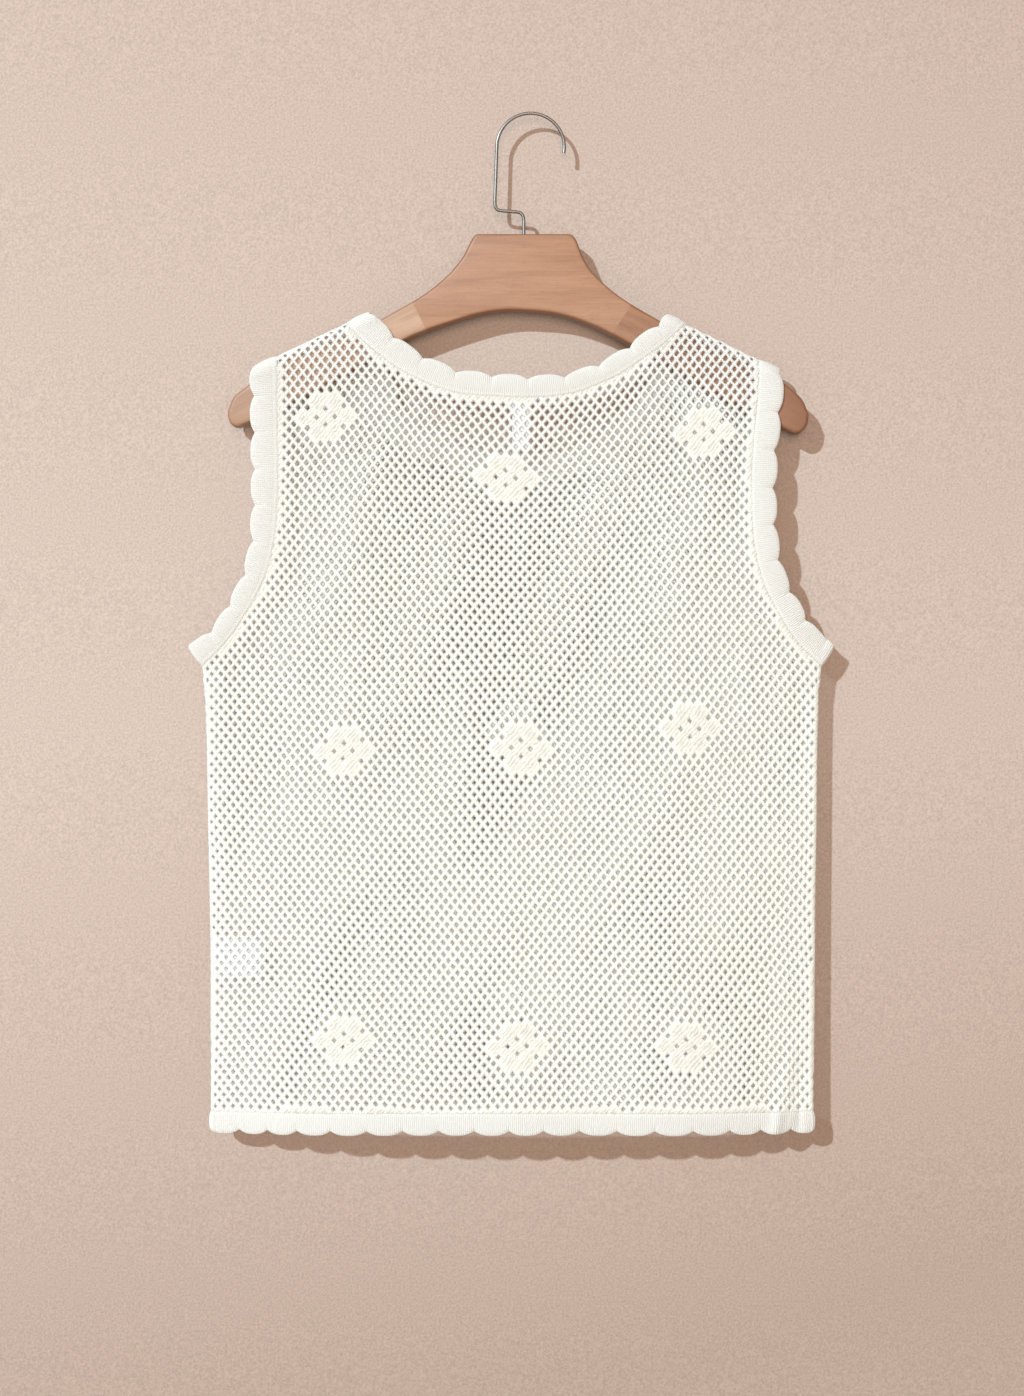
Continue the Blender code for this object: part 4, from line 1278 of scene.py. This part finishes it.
def cut_copy(name, cuts, finish, solid_node):
    """A copy of the board that keeps one side of each joint."""
    piece = board.copy()
    piece.data = board.data.copy()
    piece.name = name
    bpy.context.scene.collection.objects.link(piece)
    pick(piece)
    bpy.ops.object.mode_set(mode="EDIT")
    bpy.ops.mesh.select_all(action="SELECT")
    bpy.ops.mesh.remove_doubles(threshold=MERGE)
    for ((x0, z0), (x1, z1)), keep_right in cuts:
        run = Vector((x1 - x0, 0, z1 - z0)).normalized()
        bpy.ops.mesh.select_all(action="SELECT")
        bpy.ops.mesh.bisect(
            plane_co=(x0, 0, z0),
            plane_no=(-run.z, 0, run.x),
            use_fill=True,
            clear_inner=keep_right,
            clear_outer=not keep_right,
            threshold=MERGE,
        )
    bpy.ops.mesh.select_all(action="SELECT")
    bpy.ops.mesh.normals_make_consistent(inside=False)
    bpy.ops.object.mode_set(mode="OBJECT")
    bpy.ops.object.shade_smooth_by_angle(angle=math.radians(BOARD_SHARP))
    piece.data.materials.clear()
    piece.data.materials.append(finish)
    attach(piece, "root")
    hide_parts(solid_node)
    print(piece.name, triangles(piece), "volume", volume(piece), "cm3")


GRAIN_TURN = math.radians(27)  # the grain slopes down with the arms
BLOCK = beech("beech block", (0.330, 0.147, 0.073), (0.230, 0.092, 0.042), (0.135, 0.042, 0.015), 0.0)
LEFT = beech(
    "beech left arm", (0.415, 0.240, 0.148), (0.300, 0.153, 0.082), (0.175, 0.064, 0.024), GRAIN_TURN
)
RIGHT = beech(
    "beech right arm", (0.250, 0.101, 0.044), (0.172, 0.060, 0.024), (0.110, 0.033, 0.011), -GRAIN_TURN
)
cut_copy("neck_block", ((JOINT_LEFT, True), (JOINT_RIGHT, False)), BLOCK, "hanger_centre")
cut_copy("left_arm", ((JOINT_LEFT, False),), LEFT, "hanger_arm_left")
cut_copy("right_arm", ((JOINT_RIGHT, True),), RIGHT, "hanger_arm_right")
bpy.data.objects.remove(board)

# %% [markdown]
# ## The hook
# The hook is one drawn wire. Its stem leaves the block, jogs to the left and runs up into a
# round hook. A curve with a round bevel is the quickest way to make a wire, and its ends get
# closed caps.

# %% Bend the wire
WIRE, HOOK_RADIUS, BORE_DEPTH = 0.0025, 0.0245, 0.020
HOOK_FROM, HOOK_TO, HOOK_STEP = 174, -11, -8  # degrees round the hook
WIRE_STEP, STEM_TOP = 0.0008, -0.0765
JOG = ((-0.0247, -0.0682), (-0.0210, -0.0696), (-0.0095, -0.0706), (-0.0062, -0.0723))
SHANK = ((-0.0259, -0.0640), (-0.02545, -0.0500), (-0.02490, -0.0340))
centre = -(HOOK_RADIUS - 0.5 * WIRE)
arc = [
    (HOOK_RADIUS * math.cos(math.radians(t)), centre + HOOK_RADIUS * math.sin(math.radians(t)))
    for t in range(HOOK_FROM, HOOK_TO, HOOK_STEP)
]
bends = [(STEM_X, HANGER_TOP), (STEM_X, STEM_TOP), *reversed(JOG), *SHANK, *arc]
line = [(STEM_X, HANGER_TOP - BORE_DEPTH + SEAM_GAP), *smooth(bends, WIRE_STEP)]
curve = new_curve("wire_hook", "3D", [(x, 0, z) for x, z in line], closed=False)
curve.bevel_depth, curve.bevel_resolution, curve.use_fill_caps = 0.5 * WIRE, 4, True
hook = curve_to_mesh("wire_hook", curve)
bpy.ops.object.mode_set(mode="EDIT")
bpy.ops.mesh.select_all(action="SELECT")
bpy.ops.mesh.remove_doubles(threshold=MERGE)
bpy.ops.mesh.normals_make_consistent(inside=False)
bpy.ops.object.mode_set(mode="OBJECT")
bpy.ops.object.shade_smooth_by_angle(angle=math.radians(WIRE_SHARP))

# %% Steel
STEEL, tree, shader = new_finish("steel wire")
place = node(tree, "ShaderNodeTexCoord").outputs["Object"]
drawn = noise(tree, place, scale=420.0, detail=3.0)
colour = mixed(tree, drawn, (0.120, 0.114, 0.108, 1), (0.200, 0.190, 0.182, 1))
tree.links.new(colour, shader.inputs["Base Color"])
tree.links.new(ramp(tree, drawn, 0.2, 0.8, at_start=0.30, at_end=0.38), shader.inputs["Roughness"])
shader.inputs["Metallic"].default_value = 1.0
hook.data.materials.clear()
hook.data.materials.append(STEEL)
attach(hook, "root")
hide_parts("hook")
print("hook:", triangles(hook), "volume", volume(hook), "cm3")

# %% [markdown]
# ## Stage, light and camera
# The top hangs just clear of a plain warm wall, and a pale floor lies well below. The wall is
# seen from its front only, so the top can be looked at from behind as well. One sun from the
# upper left gives the crisp shadow. A wide warm light from the front shines into the holes of
# the net, and a warm sky fills the rest.

# %% Wall and floor
WALL_BEHIND, WALL_LEAN = 0.014, 0.0110  # behind the hook, and further away lower down


def plain(name, tones, one_sided):
    """A matt stage finish. Its second, darker tone is painted shade: it shows low down, to the right and
    a little at the top.
    """
    made, tree, shader = new_finish(name)
    place = node(tree, "ShaderNodeTexCoord").outputs["Object"]
    across, _, up = node(tree, "ShaderNodeSeparateXYZ", {0: place}).outputs
    # Painted shade: the darker tone comes in low down, to the right and a little at the top, where the
    # light falls off.
    low_down = ramp(tree, up, -0.45, -0.95, at_end=0.80)
    to_the_right = ramp(tree, across, -0.38, 0.36, at_end=0.40)
    high_up = ramp(tree, up, -0.30, 0.10, at_end=0.15)
    share = math_node(tree, "ADD", math_node(tree, "ADD", low_down, to_the_right), high_up)
    colour = mixed(tree, share, (*tones[0], 1), (*tones[1], 1))
    grit = noise(tree, place, scale=640.0, detail=3.0)
    speck = node(
        tree, "ShaderNodeMix", {0: 0.40, 6: colour, 7: grit}, data_type="RGBA", blend_type="OVERLAY"
    )
    tree.links.new(speck.outputs[2], shader.inputs["Base Color"])
    bump = node(tree, "ShaderNodeBump", {"Height": grit, "Distance": 0.0010, "Strength": 0.5})
    tree.links.new(bump.outputs[0], shader.inputs["Normal"])
    shader.inputs["Roughness"].default_value = 0.95
    shader.inputs["Specular IOR Level"].default_value = 0.1
    if one_sided:
        clear = node(tree, "ShaderNodeBsdfTransparent")
        behind = node(tree, "ShaderNodeNewGeometry").outputs["Backfacing"]
        mix = node(tree, "ShaderNodeMixShader", {0: behind, 1: shader.outputs[0], 2: clear.outputs[0]})
        tree.links.new(mix.outputs[0], tree.nodes["Material Output"].inputs["Surface"])
    return made


def stage_plane(name, size, location, turn, finish):
    """A large plain square behind or below the top."""
    bpy.ops.mesh.primitive_plane_add(size=size, location=location, rotation=turn)
    made = bpy.context.object
    made.name = name
    made.data.materials.append(finish)
    bpy.ops.object.transform_apply(location=True, rotation=True)


stage_plane(
    "backdrop",
    size=5.0,
    location=(0, WALL_BEHIND, 0),
    turn=(0.5 * math.pi + math.atan(WALL_LEAN), 0, 0),
    finish=plain("plain wall", ((0.445, 0.337, 0.282), (0.300, 0.206, 0.157)), one_sided=True),
)
stage_plane(
    "floor",
    size=8.0,
    location=(0, -1.0, -1.30),
    turn=(0, 0, 0),
    finish=plain("pale floor", ((0.66, 0.62, 0.57), (0.62, 0.58, 0.53)), one_sided=False),
)

# %% Light
LIGHTS = {  # strength, spread in degrees, colour, direction
    "key": (4.50, 1.6, (0.70, 0.87, 0.95), (0.70, 1.0, -0.58)),
    "fill": (1.30, 24.0, (1.0, 0.73, 0.56), (0.0, 1.0, -0.05)),
}
SKY, SKY_STRENGTH, GAMMA = (1.0, 0.76, 0.62, 1), 0.34, 1.28
for name, (strength, spread, colour, direction) in LIGHTS.items():
    sun = bpy.data.lights.new(name, "SUN")
    sun.energy, sun.angle, sun.color = strength, math.radians(spread), colour
    light = bpy.data.objects.new(name, sun)
    light.rotation_euler = Vector(direction).to_track_quat("-Z", "Y").to_euler()
    bpy.context.scene.collection.objects.link(light)
world = bpy.data.worlds.new("soft room")
world.use_nodes = True
world.node_tree.nodes["Background"].inputs["Color"].default_value = SKY
world.node_tree.nodes["Background"].inputs["Strength"].default_value = SKY_STRENGTH
bpy.context.scene.world = world
bpy.context.scene.view_settings.view_transform = "Standard"
bpy.context.scene.view_settings.gamma = GAMMA

# %% Camera
LENS, SENSOR, EYE = 51.46, 36.0, (-0.01352, -1.45, -0.42361)
camera = bpy.data.cameras.new("camera")
camera.lens, camera.sensor_width = LENS, SENSOR
eye = bpy.data.objects.new("camera", camera)
eye.location = EYE
eye.rotation_euler = (0.5 * math.pi, 0, 0)
bpy.context.scene.collection.objects.link(eye)
bpy.context.scene.camera = eye
